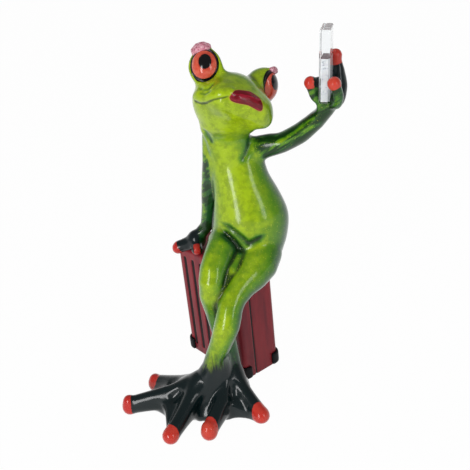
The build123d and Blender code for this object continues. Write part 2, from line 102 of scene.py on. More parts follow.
# An eye mound's root in the head's left, back and up, how far its end is sunk, and its radii
MOUND_ROOT = (7.0, 2.0, 4.0)
MOUND_SUNK = 3.6
MOUND_RADII = (7.6, 5.2)
HEAD_FILLET = 4.0
# The rows of each eyelid: turns from the top in degrees, distances out and ahead, and radii
LIDS = {
    "left_eye": (((16, 28, 40), 7.2, 2.4, (1.3, 1.7, 1.3)),),
    "right_eye": (
        ((-35, -20, -5, 9), 8.2, 0.8, (1.5, 2.2, 2.2, 1.5)),
        ((-38, -20, -5, 8), 7.2, 2.0, (1.1, 1.8, 1.8, 1.2)),
    ),
}
LID_FILLET = 0.6

# The mouth's line round the snout, from corner to corner, in the head's left, back and up
MOUTH = (
    (-16.5, -0.3, -3.2), (-15.0, -3.4, -4.3), (-13.3, -6.6, -4.3), (-11.9, -9.1, -3.7),
    (-9.4, -12.2, -2.6), (-7.7, -13.8, -1.4),
)
FAR_MOUTH = ((13.6, -8.2, -3.5), (15.0, -5.0, -3.6), (16.2, -2.0, -3.4))
# Each line with the radius that it starts with, and what both end with
MOUTH_LINES = ((MOUTH, 0.6), (FAR_MOUTH, 0.25))
MOUTH_END = 0.25
MOUTH_FILLET = 0.6
# The ridge over the mouth: how far above the line and under the skin, its radius and fillet
RIDGE_ABOVE, RIDGE_SUNK, RIDGE_RADIUS, RIDGE_FILLET = 2.2, 1.0, 1.4, 2.2
LIPS = (
    (-7.0, -14.4, -0.8), (-4.4, -16.5, -0.2), (-0.3, -16.7, 0.4), (3.0, -16.5, -0.5),
    (7.0, -13.8, -2.5),
)
LIP_RADII = (2.2, 2.8, 3.0, 2.6, 1.3)
LIP_SUNK, LIP_FILLET = 0.82, 0.5

# From which way the folds are laid on the body
FROM_FRONT = np.array((0.0, -9.2, 4.0))
# Folds under the belly, on the chest and behind the resting arm's shoulder, with the width and the
# strength of their shade
FOLDS = (
    (
        (
            (-0.9, -15, 85.8), (5.1, -22, 83.7), (10.6, -24.5, 78.7), (12.6, -25.2, 76.4),
            (17.2, -25.5, 78.2), (23, -23.6, 80.6),
        ),
        3.4,
        0.75,
    ),
    (((1.2, -18.5, 82.0), (7, -23, 76.5), (9.6, -24, 71.5)), 5.2, 0.8),
    (((18.6, -14.5, 122.0), (16.4, -17.0, 118.0), (13.2, -18.6, 113.6)), 4.5, 0.45),
    (((-1.6, -11.2, 127.0), (1.0, -12.2, 121.0)), 1.7, 1.0),
)
FOLD_FILLET = 2.4
# Rings under the eyes, in the head's left, back and up, cut on both sides
EYE_RINGS = (
    ((-16.7, -0.2, 3.0), (-16.3, -5.8, 1.1), (-14.7, -8.2, 1.6), (-11.8, -8.2, 5.7)),
    ((-17.3, -3.4, 0.2), (-15.6, -7.2, -0.8), (-13.5, -10.1, 0.6)),
)
# The rings' radius and fillet, and the width and strength of their painted shade
RING_RADIUS, RING_FILLET, RING_WIDTH, RING_STRENGTH = 0.45, 1.2, 1.3, 0.5

# A toe's foot and tip, how far it is drawn aside from its casting, its pad's radius and height, and
# how its paint's edge tilts
Toe = namedtuple("Toe", "foot tip draw radius tall tilt")
LEFT_FOOT = np.array((-16.3, -43.45, 0.0))
RIGHT_FOOT = np.array((-0.9, -39.95, 0.0))
TOES = (
    Toe(LEFT_FOOT, np.array((-40.1, -24.2, 3.1)), (0.4, -2.5, 0.0), 2.9, 3.2, 0.9),
    Toe(LEFT_FOOT, np.array((-51.8, -40.2, 3.1)), (1.0, -2.5, 0.0), 3.1, 3.8, 0.0),
    Toe(LEFT_FOOT, np.array((-31.4, -64.2, 3.1)), (1.1, 0.0, 0.0), 2.8, 1.0, 0.2),
    Toe(RIGHT_FOOT, np.array((-13.9, -64.2, 3.1)), (2.0, -1.2, 0.0), 3.6, 2.4, 0.3),
    Toe(RIGHT_FOOT, np.array((10.4, -56.2, 3.1)), (2.0, 0.0, 0.0), 3.8, 0.2, 0.2),
)
# How far round it a toe is drawn, its root above the foot, its middle's sag and its radii
TOE_DRAW_RADIUS = 9.0
TOE_ROOT = np.array((0.0, 0.0, 16.0))
TOE_SAG = np.array((0.0, 0.0, 0.6))
TOE_RADII = (3.6, 2.7, 2.3)
TOE_FILLET, PAD_FILLET = 3.0, 0.8
# Hollows in the webs: how far out they lie between two toes, as shares, and their radii
WEB_SHARES = (0.42, 0.48, 0.54)
WEB_RADII = (1.4, 1.9, 2.2)
WEB_FILLET = 1.8

# The raised hand's fingers, from joint to tip, and how far back their pads reach
THUMB = ((45.75, -25.28, 143.47), (45.0, -25.58, 147.8))
FRONT_FINGER = ((54.93, -34.28, 144.2), (53.25, -34.58, 149.12))
BACK_FINGER = (
    (57.25, -20.78, 137.72), (59.44, -17.03, 143.35), (58.36, -16.73, 150.22),
    (57.01, -16.73, 156.33),
)
RAISED_FINGERS = ((THUMB, 0.4), (FRONT_FINGER, 0.6), (BACK_FINGER, 2.4))
RAISED_PAD = 2.6
BACK_FINGER_FLESH = ((56.2, -20.8, 138.4), (57.8, -17.6, 143.4), (57.4, -16.9, 149.6))
THUMB_KNUCKLE = ((46.8, -25.2, 148.0), (48.5, -24.6, 148.4))
# The resting hand's palm and fingertips, with the half widths of their pads
RESTING_PALM = np.array((-12.19, 4.65, 67.5))
RESTING_FINGERS = (
    (np.array((-12.25, -1.36, 64.4)), 1.5),
    (np.array((-22.2, 6.42, 62.3)), 9.0),
)
RESTING_PAD, RESTING_REACH = 2.4, 0.5
# The half width of a pad that is red all across, and the distance that stands for no pad near
WIDE_PAD = NO_PAD = 9.0
# Which way the lime front of the body, of the resting arm and of the face looks
# Skin turned that way is painted lighter and skin turned away darker, as painted light and shade
FRONT_WAY = np.array((-0.35, -0.86, 0.36))
ARM_WAY = np.array((-0.85, -0.3, 0.3))
FACE_WAY = np.array((-0.4, -0.8, 0.27))
# The heights at which each leg begins to darken and is dark
DARK_HEIGHTS = {"left_leg": (40.0, 20.0), "right_leg": (33.0, 17.0)}

# The case's own directions and size, the radii of its corners and top edge, and its faces' size
CASE_ALONG = np.array((0.6046, -0.7965, 0.0))
CASE_ACROSS = np.array((0.7965, 0.6046, 0.0))
CASE_SIZE = np.array((45.2, 23.0, 62.0))
CASE_CORNER, CASE_TOP, CASE_STEP = 2.6, 1.8, 0.42
# Where the first groove and the seam lie, as shares of the case's length and depth
FIRST_GROOVE, SEAM_PLACE = -0.38, 0.16
# Room left round a guard's casting, its grain and soft passes, and how far it swells
GUARD_MARGIN, GUARD_GRAIN, GUARD_PASSES, GUARD_SWELL = 1.5, 0.3, 10, 0.15

# Where the phone's foot stands, its own directions and size, and its and the foil's round edges
PHONE_FOOT = np.array((51.1, -23.78, 139.86))
PHONE_SIDE = np.array((0.9676, -0.2419, -0.0507))
PHONE_BACK = np.array((0.2416, 0.9689, -0.0127))
PHONE_UP = np.array((0.0523, 0.0, 0.9986))
PHONE_SIZE = np.array((4.5, 15.0, 30.2))
PHONE_EDGE, FOIL_EDGE = 0.6, 0.3

# Each lamp's place and size in metres, the setting of its power, and whether gloss mirrors it
LAMPS = {
    "Key Lamp": ((-0.5, -0.75, 0.3), (0.24, 0.6), "key_power", True),
    "Fill Lamp": ((0.55, -0.7, 0.36), (0.2, 0.55), "fill_power", True),
    "Top Lamp": ((0.0, -0.15, 0.95), (0.6, 0.6), "top_power", False),
}
LAMP_TARGET = Vector((0.005, -0.02, 0.09))
# Half the floor's side, and how far the floor lies below the figure, in millimetres
FLOOR_HALF, FLOOR_DROP = 4000, 0.05


def paint(red, green, blue):
    """A colour as a shader takes it, from the 0 to 255 that a paint chart gives."""
    shades = []
    for value in (red / 255, green / 255, blue / 255):
        shades.append(value / 12.92 if value <= 0.04045 else ((value + 0.055) / 1.055) ** 2.4)
    return tuple(shades)


# Second tones, which lie in the colours of the settings as streaks, grit, wear and clouds
LIP_STREAK = paint(160, 16, 44)
LID_PALE, LID_DEEP = paint(238, 186, 196), paint(120, 54, 66)
LINE_BLACK = paint(6, 8, 8)
PAD_CLOUD = paint(214, 70, 52)
IRIS_PALE, IRIS_DEEP, IRIS_CLOUD = paint(226, 104, 78), paint(150, 34, 26), paint(196, 56, 44)
CASE_BRUSHED, CASE_RUBBED = paint(116, 30, 42), paint(152, 54, 58)
GUARD_WORN = paint(24, 24, 30)
BOARD_FELT = paint(44, 42, 42)
FOIL_BRIGHT, FOIL_DULL = paint(250, 251, 252), paint(160, 166, 176)
STEEL_DULL = paint(116, 116, 120)
FLOOR_PAPER = paint(252, 252, 252)


def colour(name, description, *chart):
    """A colour that a user can change."""
    return FloatVectorProperty(
        name=name, description=description, subtype="COLOR", size=3, min=0.0, max=1.0,
        default=paint(*chart),
    )


def length(name, description, millimetres):
    """A length that a user can change, shown in the scene's unit."""
    return FloatProperty(
        name=name, description=description, subtype="DISTANCE", unit="LENGTH", precision=5,
        default=millimetres * MM,
    )


def angle(name, description, degrees):
    """An angle that a user can change."""
    return FloatProperty(
        name=name, description=description, subtype="ANGLE", unit="ROTATION",
        default=radians(degrees),
    )


def power(name, description, watts):
    """A lamp's power that a user can change."""
    return FloatProperty(name=name, description=description, unit="POWER", default=watts)


class FrogSkinSettings(PropertyGroup):
    """Shape and lacquer of the frog's body"""

    grain: length("Grain", "Size of the steps that the body is modelled in", 0.65)
    neck_fillet: length("Neck Fillet", "How softly the head runs into the neck", 4.5)
    arm_fillet: length("Shoulder Fillet", "How softly the arms run into the body", 4.0)
    leg_fillet: length("Hip Fillet", "How softly the legs run into the body", 2.0)
    lime: colour("Lime", "Lacquer on the belly, face and shins", 168, 197, 16)
    olive: colour("Olive", "Mottling in the lime", 132, 160, 4)
    leaf: colour("Leaf", "Lacquer between the lime front and the dark sides", 88, 142, 20)
    bottle: colour("Bottle Green", "Lacquer on the flanks and the back", 32, 90, 38)
    deep: colour("Deep Green", "Streaks along the arms", 16, 50, 12)
    # Crease green is painted shade in the hollows, folds and rings under the eyes, and the mouth's
    # line
    crease: colour("Crease Green", "Shading that lies in the folds", 14, 44, 10)
    ink: colour("Ink", "Dark lacquer on the hands and feet", 8, 25, 27)
    fleck: colour("Fleck", "Fine pale flecks in the lacquer", 208, 216, 70)
    tip: colour("Toe Pad", "Red pads on the fingers and toes", 200, 44, 36)
    lip: colour("Lips", "Lacquer on the lips", 110, 3, 18)
    lip_edge: colour("Lip Edge", "Thin line painted round the lips", 196, 150, 60)
    lid: colour("Eyelid", "Pink lacquer on the eyelids", 206, 120, 142)
    fleck_spacing: length("Fleck Spacing", "Distance between the flecks", 0.8)


class FrogEyeSettings(PropertyGroup):
    """Shape and lacquer of the eyes"""

    dome: length("Dome Radius", "Radius of the eye's glossy dome", 7.0)
    pupil: length("Pupil Radius", "Radius of the black pupil", 2.85)
    iris: length("Iris Radius", "Radius of the coral iris", 5.9)
    rim: length("Rim Thickness", "Thickness of the black bead round the eye", 0.3)
    coral: colour("Coral", "Lacquer on the iris", 214, 78, 56)
    black: colour("Black", "Lacquer on the pupil and the rim", 6, 6, 8)


class FrogCaseSettings(PropertyGroup):
    """Shape and paint of the travelling case"""

    groove_count: IntProperty(
        name="Grooves", description="Grooves on each broad face", default=6, min=1, max=12
    )
    groove_pitch: length("Groove Pitch", "Distance from one groove to the next", 6.33)
    groove_width: length("Groove Width", "Width of a groove at the face", 3.2)
    groove_depth: length("Groove Depth", "Depth of a groove", 1.0)
    groove_top: length("Groove Top Margin", "Plain band above the grooves", 6.0)
    groove_foot: length("Groove Foot Margin", "Plain band below the grooves", 5.0)
    seam_width: length("Seam Width", "Width of the seams on the narrow sides", 1.2)
    seam_depth: length("Seam Depth", "Depth of the seams on the narrow sides", 0.7)
    maroon: colour("Maroon", "Paint of the case", 148, 38, 48)
    # Groove shade is painted shade in the grooves and seams
    shade: colour("Groove Shade", "Dark paint that lies in the grooves", 24, 6, 9)
    guard: colour("Guard", "Black of the corner guards", 9, 9, 13)
    board: colour("Base Board", "Board under the case", 26, 25, 26)


class FrogPhoneSettings(PropertyGroup):
    """Shape and finish of the clear phone"""

    foil_height: length("Foil Height", "Height of the silvered part", 18.2)
    foil_inset: length("Foil Inset", "Clear acrylic round the silvered part", 0.7)
    clear: colour("Acrylic", "Tint of the clear acrylic", 246, 249, 250)
    foil: colour("Foil", "Silver under the acrylic", 240, 243, 247)
    band: colour("Band", "Dark line at the top of the silver", 92, 58, 66)
    steel: colour("Dowel Steel", "Steel of the hidden dowels", 150, 150, 152)


class FrogStageSettings(PropertyGroup):
    """Camera, floor and lamps"""

    camera_place: FloatVectorProperty(
        name="Camera Place", description="Where the camera stands", subtype="XYZ", unit="LENGTH",
        size=3, default=(0.00705, -0.3315, 0.231),
    )
    camera_pitch: angle("Pitch", "How far the camera looks down", 26.0)
    camera_roll: angle("Roll", "How far the camera leans", -6.0)
    focal_pixels: FloatProperty(
        name="Focal Length", description="Focal length in the photo's pixels", subtype="PIXEL",
        default=750.0,
    )
    floor: colour("Floor", "Pale floor", 250, 250, 250)
    key_power: power("Key Lamp", "Power of the lamp at the left", 4.2)
    fill_power: power("Fill Lamp", "Power of the lamp at the right", 1.5)
    top_power: power("Top Lamp", "Power of the lamp above", 0.8)
    room: FloatProperty(
        name="Room Light", description="Light from in front, as a share of the white behind",
        subtype="FACTOR", min=0.0, max=1.0, default=0.24,
    )


class Flow:
    """An output of a node tree, which the usual operators join with numbers and other outputs."""

    def __init__(self, board, socket):
        self.board = board
        self.socket = socket

    def math(self, operation, *others):
        return self.board.math(operation, self, *others)

    def __add__(self, other):
        return self.math("ADD", other)

    def __sub__(self, other):
        return self.math("SUBTRACT", other)

    def __rsub__(self, other):
        return self.board.math("SUBTRACT", other, self)

    def __mul__(self, other):
        return self.math("MULTIPLY", other)

    def __truediv__(self, other):
        return self.math("DIVIDE", other)

    def __abs__(self):
        return self.math("ABSOLUTE")

    __radd__ = __add__
    __rmul__ = __mul__

    def most(self, other):
        return self.math("MAXIMUM", other)

    def least(self, other):
        return self.math("MINIMUM", other)

    def eased(self):
        """A share from 0 to 1 that starts and ends softly."""
        return self * self * (3.0 - 2.0 * self)

    def step(self, low, high):
        """Rises smoothly from 0 at low to 1 at high, or falls where low is the larger."""
        start, end, first, last = (low, high, 0.0, 1.0) if low < high else (high, low, 1.0, 0.0)
        return self.board.add(
            "ShaderNodeMapRange",
            {"interpolation_type": "SMOOTHSTEP"},
            {"Value": self, "From Min": start, "From Max": end, "To Min": first, "To Max": last},
        )


class Board:
    """A node tree that is filled one node at a time."""

    def __init__(self, tree):
        self.tree = tree

    def add(self, kind, settings=None, inputs=None, output=0):
        """Add a node with its settings and the values or links of its sockets."""
        node = self.tree.nodes.new(kind)
        for key, value in (settings or {}).items():
            setattr(node, key, value)
        for key, value in (inputs or {}).items():
            self.set(node.inputs[key], value)
        return Flow(self, node.outputs[output])

    def math(self, operation, *values):
        return self.add("ShaderNodeMath", {"operation": operation}, dict(enumerate(values)))

    def set(self, socket, value):
        if isinstance(value, Flow):
            self.tree.links.new(value.socket, socket)
        else:
            socket.default_value = value


class Finish(Board):
    """A lacquer, paint or plastic."""

    def __init__(self, name):
        self.material = bpy.data.materials.new(name)
        self.material.use_nodes = True
        super().__init__(self.material.node_tree)
        self.shader = self.tree.nodes["Principled BSDF"]
        self.place = self.add("ShaderNodeTexCoord", output="Object")

    def surface(self, **sockets):
        for key, value in sockets.items():
            self.set(self.shader.inputs[key.replace("_", " ")], value)

    def attribute(self, name):
        return self.add("ShaderNodeAttribute", {"attribute_name": name}, output="Fac")

    def mix(self, amount, first, second):
        """A colour between two others, by an amount from 0 to 1."""
        first, second = (
            shade if isinstance(shade, Flow) else (*shade, 1.0) for shade in (first, second)
        )
        return self.add(
            "ShaderNodeMix", {"data_type": "RGBA"}, {0: amount, 6: first, 7: second}, output=2
        )

    def stretched(self, stretch, turn=(0.0, 0.0, 0.0)):
        return self.add(
            "ShaderNodeMapping",
            {"vector_type": "TEXTURE"},
            {"Vector": self.place, "Scale": stretch, "Rotation": turn},
        )

    def noise(self, size, detail=2.0, vector=None, roughness=0.5):
        """Noise whose clouds have a size in metres."""
        return self.add(
            "ShaderNodeTexNoise",
            inputs={
                "Vector": vector or self.place,
                "Scale": 1.0 / size,
                "Detail": detail,
                "Roughness": roughness,
            },
        )

    def bump(self, height, distance):
        return self.add("ShaderNodeBump", inputs={"Height": height, "Distance": distance})


def on_head(point):
    """A place in the head's own left, back and up."""
    left, back, up = point
    return HEAD + HEAD_LEFT * left + HEAD_BACK * back + HEAD_UP * up


def unit(vector):
    return vector / np.linalg.norm(vector)


def box_mm(name):
    """A casting's lowest and highest corners, in millimetres."""
    return [np.array(corner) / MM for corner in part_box(name)]


def rows(items, key, kind=float):
    """A value of each vertex or triangle, in rows of three."""
    values = np.empty(len(items) * 3, kind)
    items.foreach_get(key, values)
    return values.reshape(-1, 3)


def eye_frame(name):
    """An eye's middle, its axis, and the directions to its top and side."""
    centre, axis = EYES[name]
    top = unit(UP - axis * axis[2])
    return centre, axis, top, np.cross(top, axis)


def oval_distance(offset, top, side):
    """Distance from an eye's axis, measured in its oval."""
    return np.hypot(offset @ top / EYE_TALL, offset @ side / EYE_WIDE)


def chain_distance(place, points, radii):
    """Distance from a place, or from each of an array of places, to a run of tapering rods."""
    points = [np.asarray(point, float) for point in points]
    nearest = None
    for start, end, first, last in zip(points, points[1:], radii, radii[1:]):
        run = end - start
        offset = place - start
        share = np.clip(offset @ run / (run @ run), 0.0, 1.0)
        gap = np.linalg.norm(offset - share[..., None] * run, axis=-1)
        gap = gap - (first + (last - first) * share)
        nearest = gap if nearest is None else np.minimum(nearest, gap)
    return nearest


def smooth_least(first, second, fillet):
    """The lesser of two distances, with a fillet where they meet."""
    if fillet <= 0:
        return np.minimum(first, second)
    share = np.maximum(fillet - np.abs(first - second), 0.0) / fillet
    return np.minimum(first, second) - share * share * (fillet / 4)


def rise(values, low, high):
    """Rises smoothly from 0 at low to 1 at high, or falls where low is the larger."""
    share = np.clip((values - low) / (high - low), 0.0, 1.0)
    return share * share * (3 - 2 * share)


def spaced(course, count=28):
    """A course's places, with more between them."""
    course = np.asarray(course, float)
    steps = np.linspace(0, len(course) - 1, count)
    corners = np.arange(len(course))
    return np.stack([np.interp(steps, corners, course[:, axis]) for axis in range(3)], axis=1)


def fading(count):
    """1 along the middle of a course, falling to 0 at its two ends."""
    along = np.linspace(0.0, 1.0, count)
    return np.clip(np.minimum(along, 1.0 - along) * 6.0, 0.0, 1.0)


class Clay:
    """A block of distances to a surface, which forms are pressed into."""

    band = 5.0

    def __init__(self, low, high, grain):
        self.grain = grain
        self.first = np.floor(np.asarray(low) / grain).astype(int)
        last = np.ceil(np.asarray(high) / grain).astype(int)
        self.axes = [np.arange(a, b + 1) * grain for a, b in zip(self.first, last)]
        self.field = np.full([len(axis) for axis in self.axes], self.band, np.float32)

    def casting(self, name, passes):
        """Distances to one casting, its facets rounded by as many soft passes."""
        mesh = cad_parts[name].data
        mesh.calc_loop_triangles()
        level = openvdb.FloatGrid.createLevelSetFromPolygons(
            rows(mesh.vertices, "co", np.float32) / MM,
            triangles=rows(mesh.loop_triangles, "vertices", np.int32),
            transform=openvdb.createLinearTransform(voxelSize=self.grain),
            halfWidth=self.band / self.grain,
        )
        block = np.empty(self.field.shape, np.float32)
        level.copyToArray(block, ijk=tuple(int(i) for i in self.first))
        return self.softened(block, passes)

    @staticmethod
    def softened(block, passes):
        """A block whose values are evened out with their neighbours'."""
        for _ in range(passes):
            for axis in range(3):
                lanes = np.moveaxis(block, axis, 0)
                lanes[1:-1] = (lanes[:-2] + 2 * lanes[1:-1] + lanes[2:]) / 4
        return block

    def join(self, block, fillet):
        self.field = smooth_least(self.field, block, fillet)

    def window(self, points, margin):
        """The part of the block round some points, and the places in it."""
        points = np.asarray(points, float)
        ranges = []
        for axis in range(3):
            low = np.searchsorted(self.axes[axis], points[:, axis].min() - margin)
            high = np.searchsorted(self.axes[axis], points[:, axis].max() + margin)
            ranges.append(slice(low, high))
        grids = np.meshgrid(*[axis[part] for axis, part in zip(self.axes, ranges)], indexing="ij")
        return tuple(ranges), np.stack(grids, axis=-1)

    def rods(self, points, radii, fillet):
        """The part round a run of tapering rods, and the distances to them."""
        part, places = self.window(points, max(radii) + fillet + 1.0)
        return part, chain_distance(places, points, radii)

    def add(self, points, radii, fillet):
        """Press a run of tapering rods on."""
        part, gap = self.rods(points, radii, fillet)
        self.field[part] = smooth_least(self.field[part], gap, fillet)

    def carve(self, points, radii, fillet):
        """Cut a run of tapering rods away."""
        part, gap = self.rods(points, radii, fillet)
        self.field[part] = -smooth_least(-self.field[part], gap, fillet)

    def crease(self, course, radius, fillet):
        """Cut a groove that runs out to nothing at its two ends."""
        fade = fading(len(course))
        self.carve(course, radius * fade - fillet * (1.0 - fade), fillet)

    def reach(self, course, radius, core):
        """The part round a course, its places, and shares from 1 in the core to 0 at the radius."""
        part, places = self.window(course, radius + 1.0)
        gap = chain_distance(places, course, [0.0] * len(course))
        return part, places, rise(gap, radius, radius * core)

    def nudge(self, course, radius, shift):
        """Draw the clay round a course aside, less and less out to a radius."""
        part, places, share = self.reach(course, radius, 0.4)
        drawn_from = places - share[..., None] * np.asarray(shift, float)
        self.field[part] = self.sample(self.field, drawn_from.reshape(-1, 3)).reshape(share.shape)

    def melt(self, course, radius, passes):
        """Smooth the clay round a course."""
        part, _, share = self.reach(course, radius, 0.5)
        soft = self.softened(self.field[part].copy(), passes)
        self.field[part] += share * (soft - self.field[part])

    def work(self, strokes):
        """Do one stroke after another: the name of a tool above and what it takes."""
        for tool, *stroke in strokes:
            getattr(self, tool)(*stroke)

    def meet(self, start, end):
        """The first place on the skin on the way from one place to another."""
        way = start + np.linspace(0.0, 1.0, 240)[:, None] * (end - start)
        inside = np.flatnonzero(self.sample(self.field, way) < 0)
        if not len(inside):
            raise RuntimeError("A course misses the body")
        return way[inside[0]]

    def seat(self, centre, axis, top, side, radius, ahead):
        """Cut a flat oval seat, square to an axis."""
        part, places = self.window((centre, centre + axis * (ahead + radius)), 2 * radius)
        offset = places - centre
        aside = oval_distance(offset, top, side) - radius
        cut = np.maximum(aside, ahead - offset @ axis)
        self.field[part] = np.maximum(self.field[part], -cut)

    def stand(self):
        """Cut away what lies below the ground."""
        self.field = np.maximum(self.field, -self.axes[2]).astype(np.float32)

    def sample(self, block, places):
        """A block's values at places, straight between its steps."""
        index = places / self.grain - self.first
        base = np.clip(np.floor(index).astype(int), 0, np.array(block.shape) - 2)
        share = index - base
        total = np.zeros(len(places))
        for corner in np.ndindex(2, 2, 2):
            weight = np.prod(np.where(corner, share, 1 - share), axis=1)
            i, j, k = (base + corner).T
            total += weight * block[i, j, k]
        return total

    def surface(self):
        """Corners and four-sided faces of the skin."""
        grid = openvdb.FloatGrid(self.band)
        grid.transform = openvdb.createLinearTransform(voxelSize=self.grain)
        grid.copyFromArray(self.field, ijk=tuple(int(i) for i in self.first))
        points, quads = grid.convertToQuads(isovalue=0.0)
        return points.astype(float), quads.astype(np.int64)


def evened(points, quads, rounds):
    """Corners moved a little, so that the steps of the block don't show in the gloss."""
    pairs = np.concatenate([quads[:, [a, (a + 1) % 4]] for a in range(4)])
    here, there = np.concatenate([pairs, pairs[:, ::-1]]).T
    count = np.bincount(here, minlength=len(points))[:, None]

    def pull(values):
        totals = [np.bincount(here, values[there, axis], len(points)) for axis in range(3)]
        return np.stack(totals, axis=1) / count - values

    for _ in range(rounds):
        points = points + 0.5 * pull(points)
        points = points - 0.52 * pull(points)
    return points


def stand_mesh(name, mesh, material):
    """Put a mesh into the scene as an object at the origin."""
    mesh.materials.append(material)
    piece = bpy.data.objects.new(name, mesh)
    bpy.context.scene.collection.objects.link(piece)
    return piece


def make_object(name, points, faces, material):
    """A smooth mesh object at the origin, from places in millimetres."""
    mesh = bpy.data.meshes.new(name)
    corners = [tuple(point) for point in np.asarray(points) * MM]
    mesh.from_pydata(corners, [], [tuple(map(int, face)) for face in faces])
    mesh.shade_smooth()
    mesh.update()
    return stand_mesh(name, mesh, material)


def face_outward(piece):
    """Turn a piece's faces outward."""
    shell = bmesh.new()
    shell.from_mesh(piece.data)
    bmesh.ops.recalc_face_normals(shell, faces=shell.faces)
    shell.to_mesh(piece.data)
    shell.free()
    piece.data.update()


def ring_faces(rings, count):
    """Four-sided faces between rings of as many corners."""
    faces = []
    for low in range(0, (rings - 1) * count, count):
        high = low + count
        for index in range(count):
            following = (index + 1) % count
            faces.append((low + index, high + index, high + following, low + following))
    return faces


def write_attribute(piece, name, values):
    """Store a value for each corner of a piece, which its finish reads."""
    layer = piece.data.attributes.new(name, "FLOAT", "POINT")
    layer.data.foreach_set("value", np.asarray(values, np.float32))


def seat(piece, slot, *nodes):
    """Let a piece ride with the figure in place of the castings that it dresses."""
    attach(piece, "root")
    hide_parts(*nodes)


def dress(name, material):
    """Give a casting that shows as it is its finish."""
    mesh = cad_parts[name].data
    mesh.materials.clear()
    mesh.materials.append(material)


# Strokes on the clay, in order. To add takes radii and a fillet, to nudge a radius and a shift, and
# to melt a radius and a number of soft passes.
BODY_STROKES = (
    # The right thigh and the left shin, drawn a little aside, and a smooth left hip
    ("nudge", ((-0.8, -23.5, 73.5), (-6.5, -34.0, 63.5)), 11.0, (0.9, 0.0, 0.0)),
    (
        "nudge",
        ((3.0, -39.0, 54.0), (-1.9, -44.2, 46.1), (-6.1, -44.4, 35.9), (-9.8, -43.5, 29.0)),
        11.0,
        (1.3, 0.0, 0.0),
    ),
    ("melt", ((19.4, -9.9, 72.2), (17.0, -22.0, 72.0)), 13.0, 8),
    # Flesh between the thighs, between the ankles and on the left instep
    ("add", ((8.5, -21.8, 69.2), (3.4, -29.7, 65.3), (-2.4, -36.0, 59.8)), (5.0, 4.9, 2.8), 0.6),
    ("add", ((-5.0, -42, 27), (-6, -43, 16), (-7, -43.5, 5)), (3.4, 5.0, 5.6), 3.5),
    ("add", ((-10, -44, 8), (-14, -47.5, 4.5), (-18, -51, 2.2)), (5.0, 4.0, 2.4), 5.0),
    # The throat, the shoulder over the case and the raised arm's flesh
    ("melt", ((-1.0, -13.0, 130.0), (5.5, -20.0, 129.0), (13.0, -17.0, 126.0)), 8.0, 9),
    (
        "add",
        ((5.0, -9.5, 123.0), (0.2, -8.4, 124.0), (-0.6, -7.2, 114.0), (-1.6, -5.0, 104.0)),
        (3.4, 3.3, 3.5, 3.5),
        1.2,
    ),
    (
        "add",
        (
            (24.4, -10.7, 117.4), (32.0, -12.9, 119.7), (39.6, -16.2, 124.2), (46.6, -20.2, 130.4),
            (51.6, -23.8, 137.6),
        ),
        (4.7, 4.7, 4.8, 4.2, 3.8),
        2.5,
    ),
)
RIGHT_EYE = EYES["right_eye"][0]
HEAD_STROKES = (
    # The right eye's mound, drawn in, a smooth muzzle and the left jaw
    ("nudge", (RIGHT_EYE + (5.5, 2.0, 2.0), RIGHT_EYE + (6.5, 3.0, -3.0)), 7.0, (-1.2, 0.0, 0.0)),
    ("add", (on_head((-8.0, -9.6, -1.0)), on_head((8.0, -9.6, -1.5))), (5.6, 5.6), HEAD_FILLET),
    ("add", (on_head((9.0, -6.0, -4.0)), on_head((12.2, -7.5, -4.2))), (4.0, 3.3), HEAD_FILLET),
)
HAND_STROKES = (
    # The finger behind the phone, and the thumb's tip and the forearm, drawn aside
    ("add", BACK_FINGER_FLESH, (2.8, 3.1, 2.5), 1.5),
    ("nudge", ((45.0, -25.6, 148.0), (45.8, -25.3, 144.0)), 5.0, (0.4, 0.0, -0.8)),
    (
        "nudge",
        ((33.0, -13.0, 122.5), (40.0, -16.5, 126.5), (48.5, -22.5, 137.5)),
        7.5,
        (0.8, 0.0, -1.0),
    ),
    ("melt", ((28.0, -11.5, 122.5), (33.0, -13.0, 123.5), (37.0, -15.0, 126.0)), 6.5, 8),
    # The thumb's root and knuckle, the wrist and the hand on the case
    (
        "add",
        ((50.4, -24.0, 139.5), (48.6, -24.6, 143.5), (47.4, -25.2, 146.8)),
        (1.8, 1.5, 1.5),
        1.2,
    ),
    ("add", THUMB_KNUCKLE, (1.7, 1.7), 0.6),
    ("melt", ((45.5, -20.0, 131.5), (49.0, -22.5, 136.5)), 7.5, 6),
    (
        "add",
        (RESTING_PALM - (0, 0, 1.5), (-16.5, 5.4, 64.6), (-20.6, 6.3, 63.6)),
        (3.8, 3.2, 2.5),
        2.5,
    ),
)


def lid_courses(name):
    """The eyelid's runs over the top of an eye, with their radii."""
    centre, axis, top, side = eye_frame(name)
    courses = []
    for turns, out, ahead, radii in LIDS[name]:
        spokes = [top * cos(radians(turn)) + side * sin(radians(turn)) for turn in turns]
        courses.append(([centre + spoke * out + axis * ahead for spoke in spokes], radii))
    return courses


# A red pad: where it begins and ends, the way it faces, its radius and its greatest half width
Pad = namedtuple("Pad", "low high run radius half_width")


def toe_pads():
    """The red pads on the toes."""
    pads = []
    for toe in TOES:
        run = unit(unit((toe.tip - toe.foot) * (1, 1, 0)) + (0, 0, toe.tilt))
        pads.append(Pad(toe.tip, toe.tip + (0, 0, toe.tall), run, toe.radius, WIDE_PAD))
    return pads


def finger_pads():
    """The red pads on the fingers."""
    pads = []
    for finger, reach in RAISED_FINGERS:
        knuckle, tip = np.array(finger[-2]), np.array(finger[-1])
        run = unit(tip - knuckle)
        pads.append(Pad(tip - run * reach, tip, run, RAISED_PAD, WIDE_PAD))
    for tip, half_width in RESTING_FINGERS:
        run = unit(tip - RESTING_PALM)
        pads.append(Pad(tip - run * RESTING_REACH, tip, run, RESTING_PAD, half_width))
    return pads


def drawn(clay, course):
    """A course over the head, laid on the clay's skin."""
    places = []
    for left, back, up in spaced(course):
        places.append(clay.meet(on_head((1.5 * left, 1.5 * back, up)), on_head((0.0, 2.0, up))))
    return places


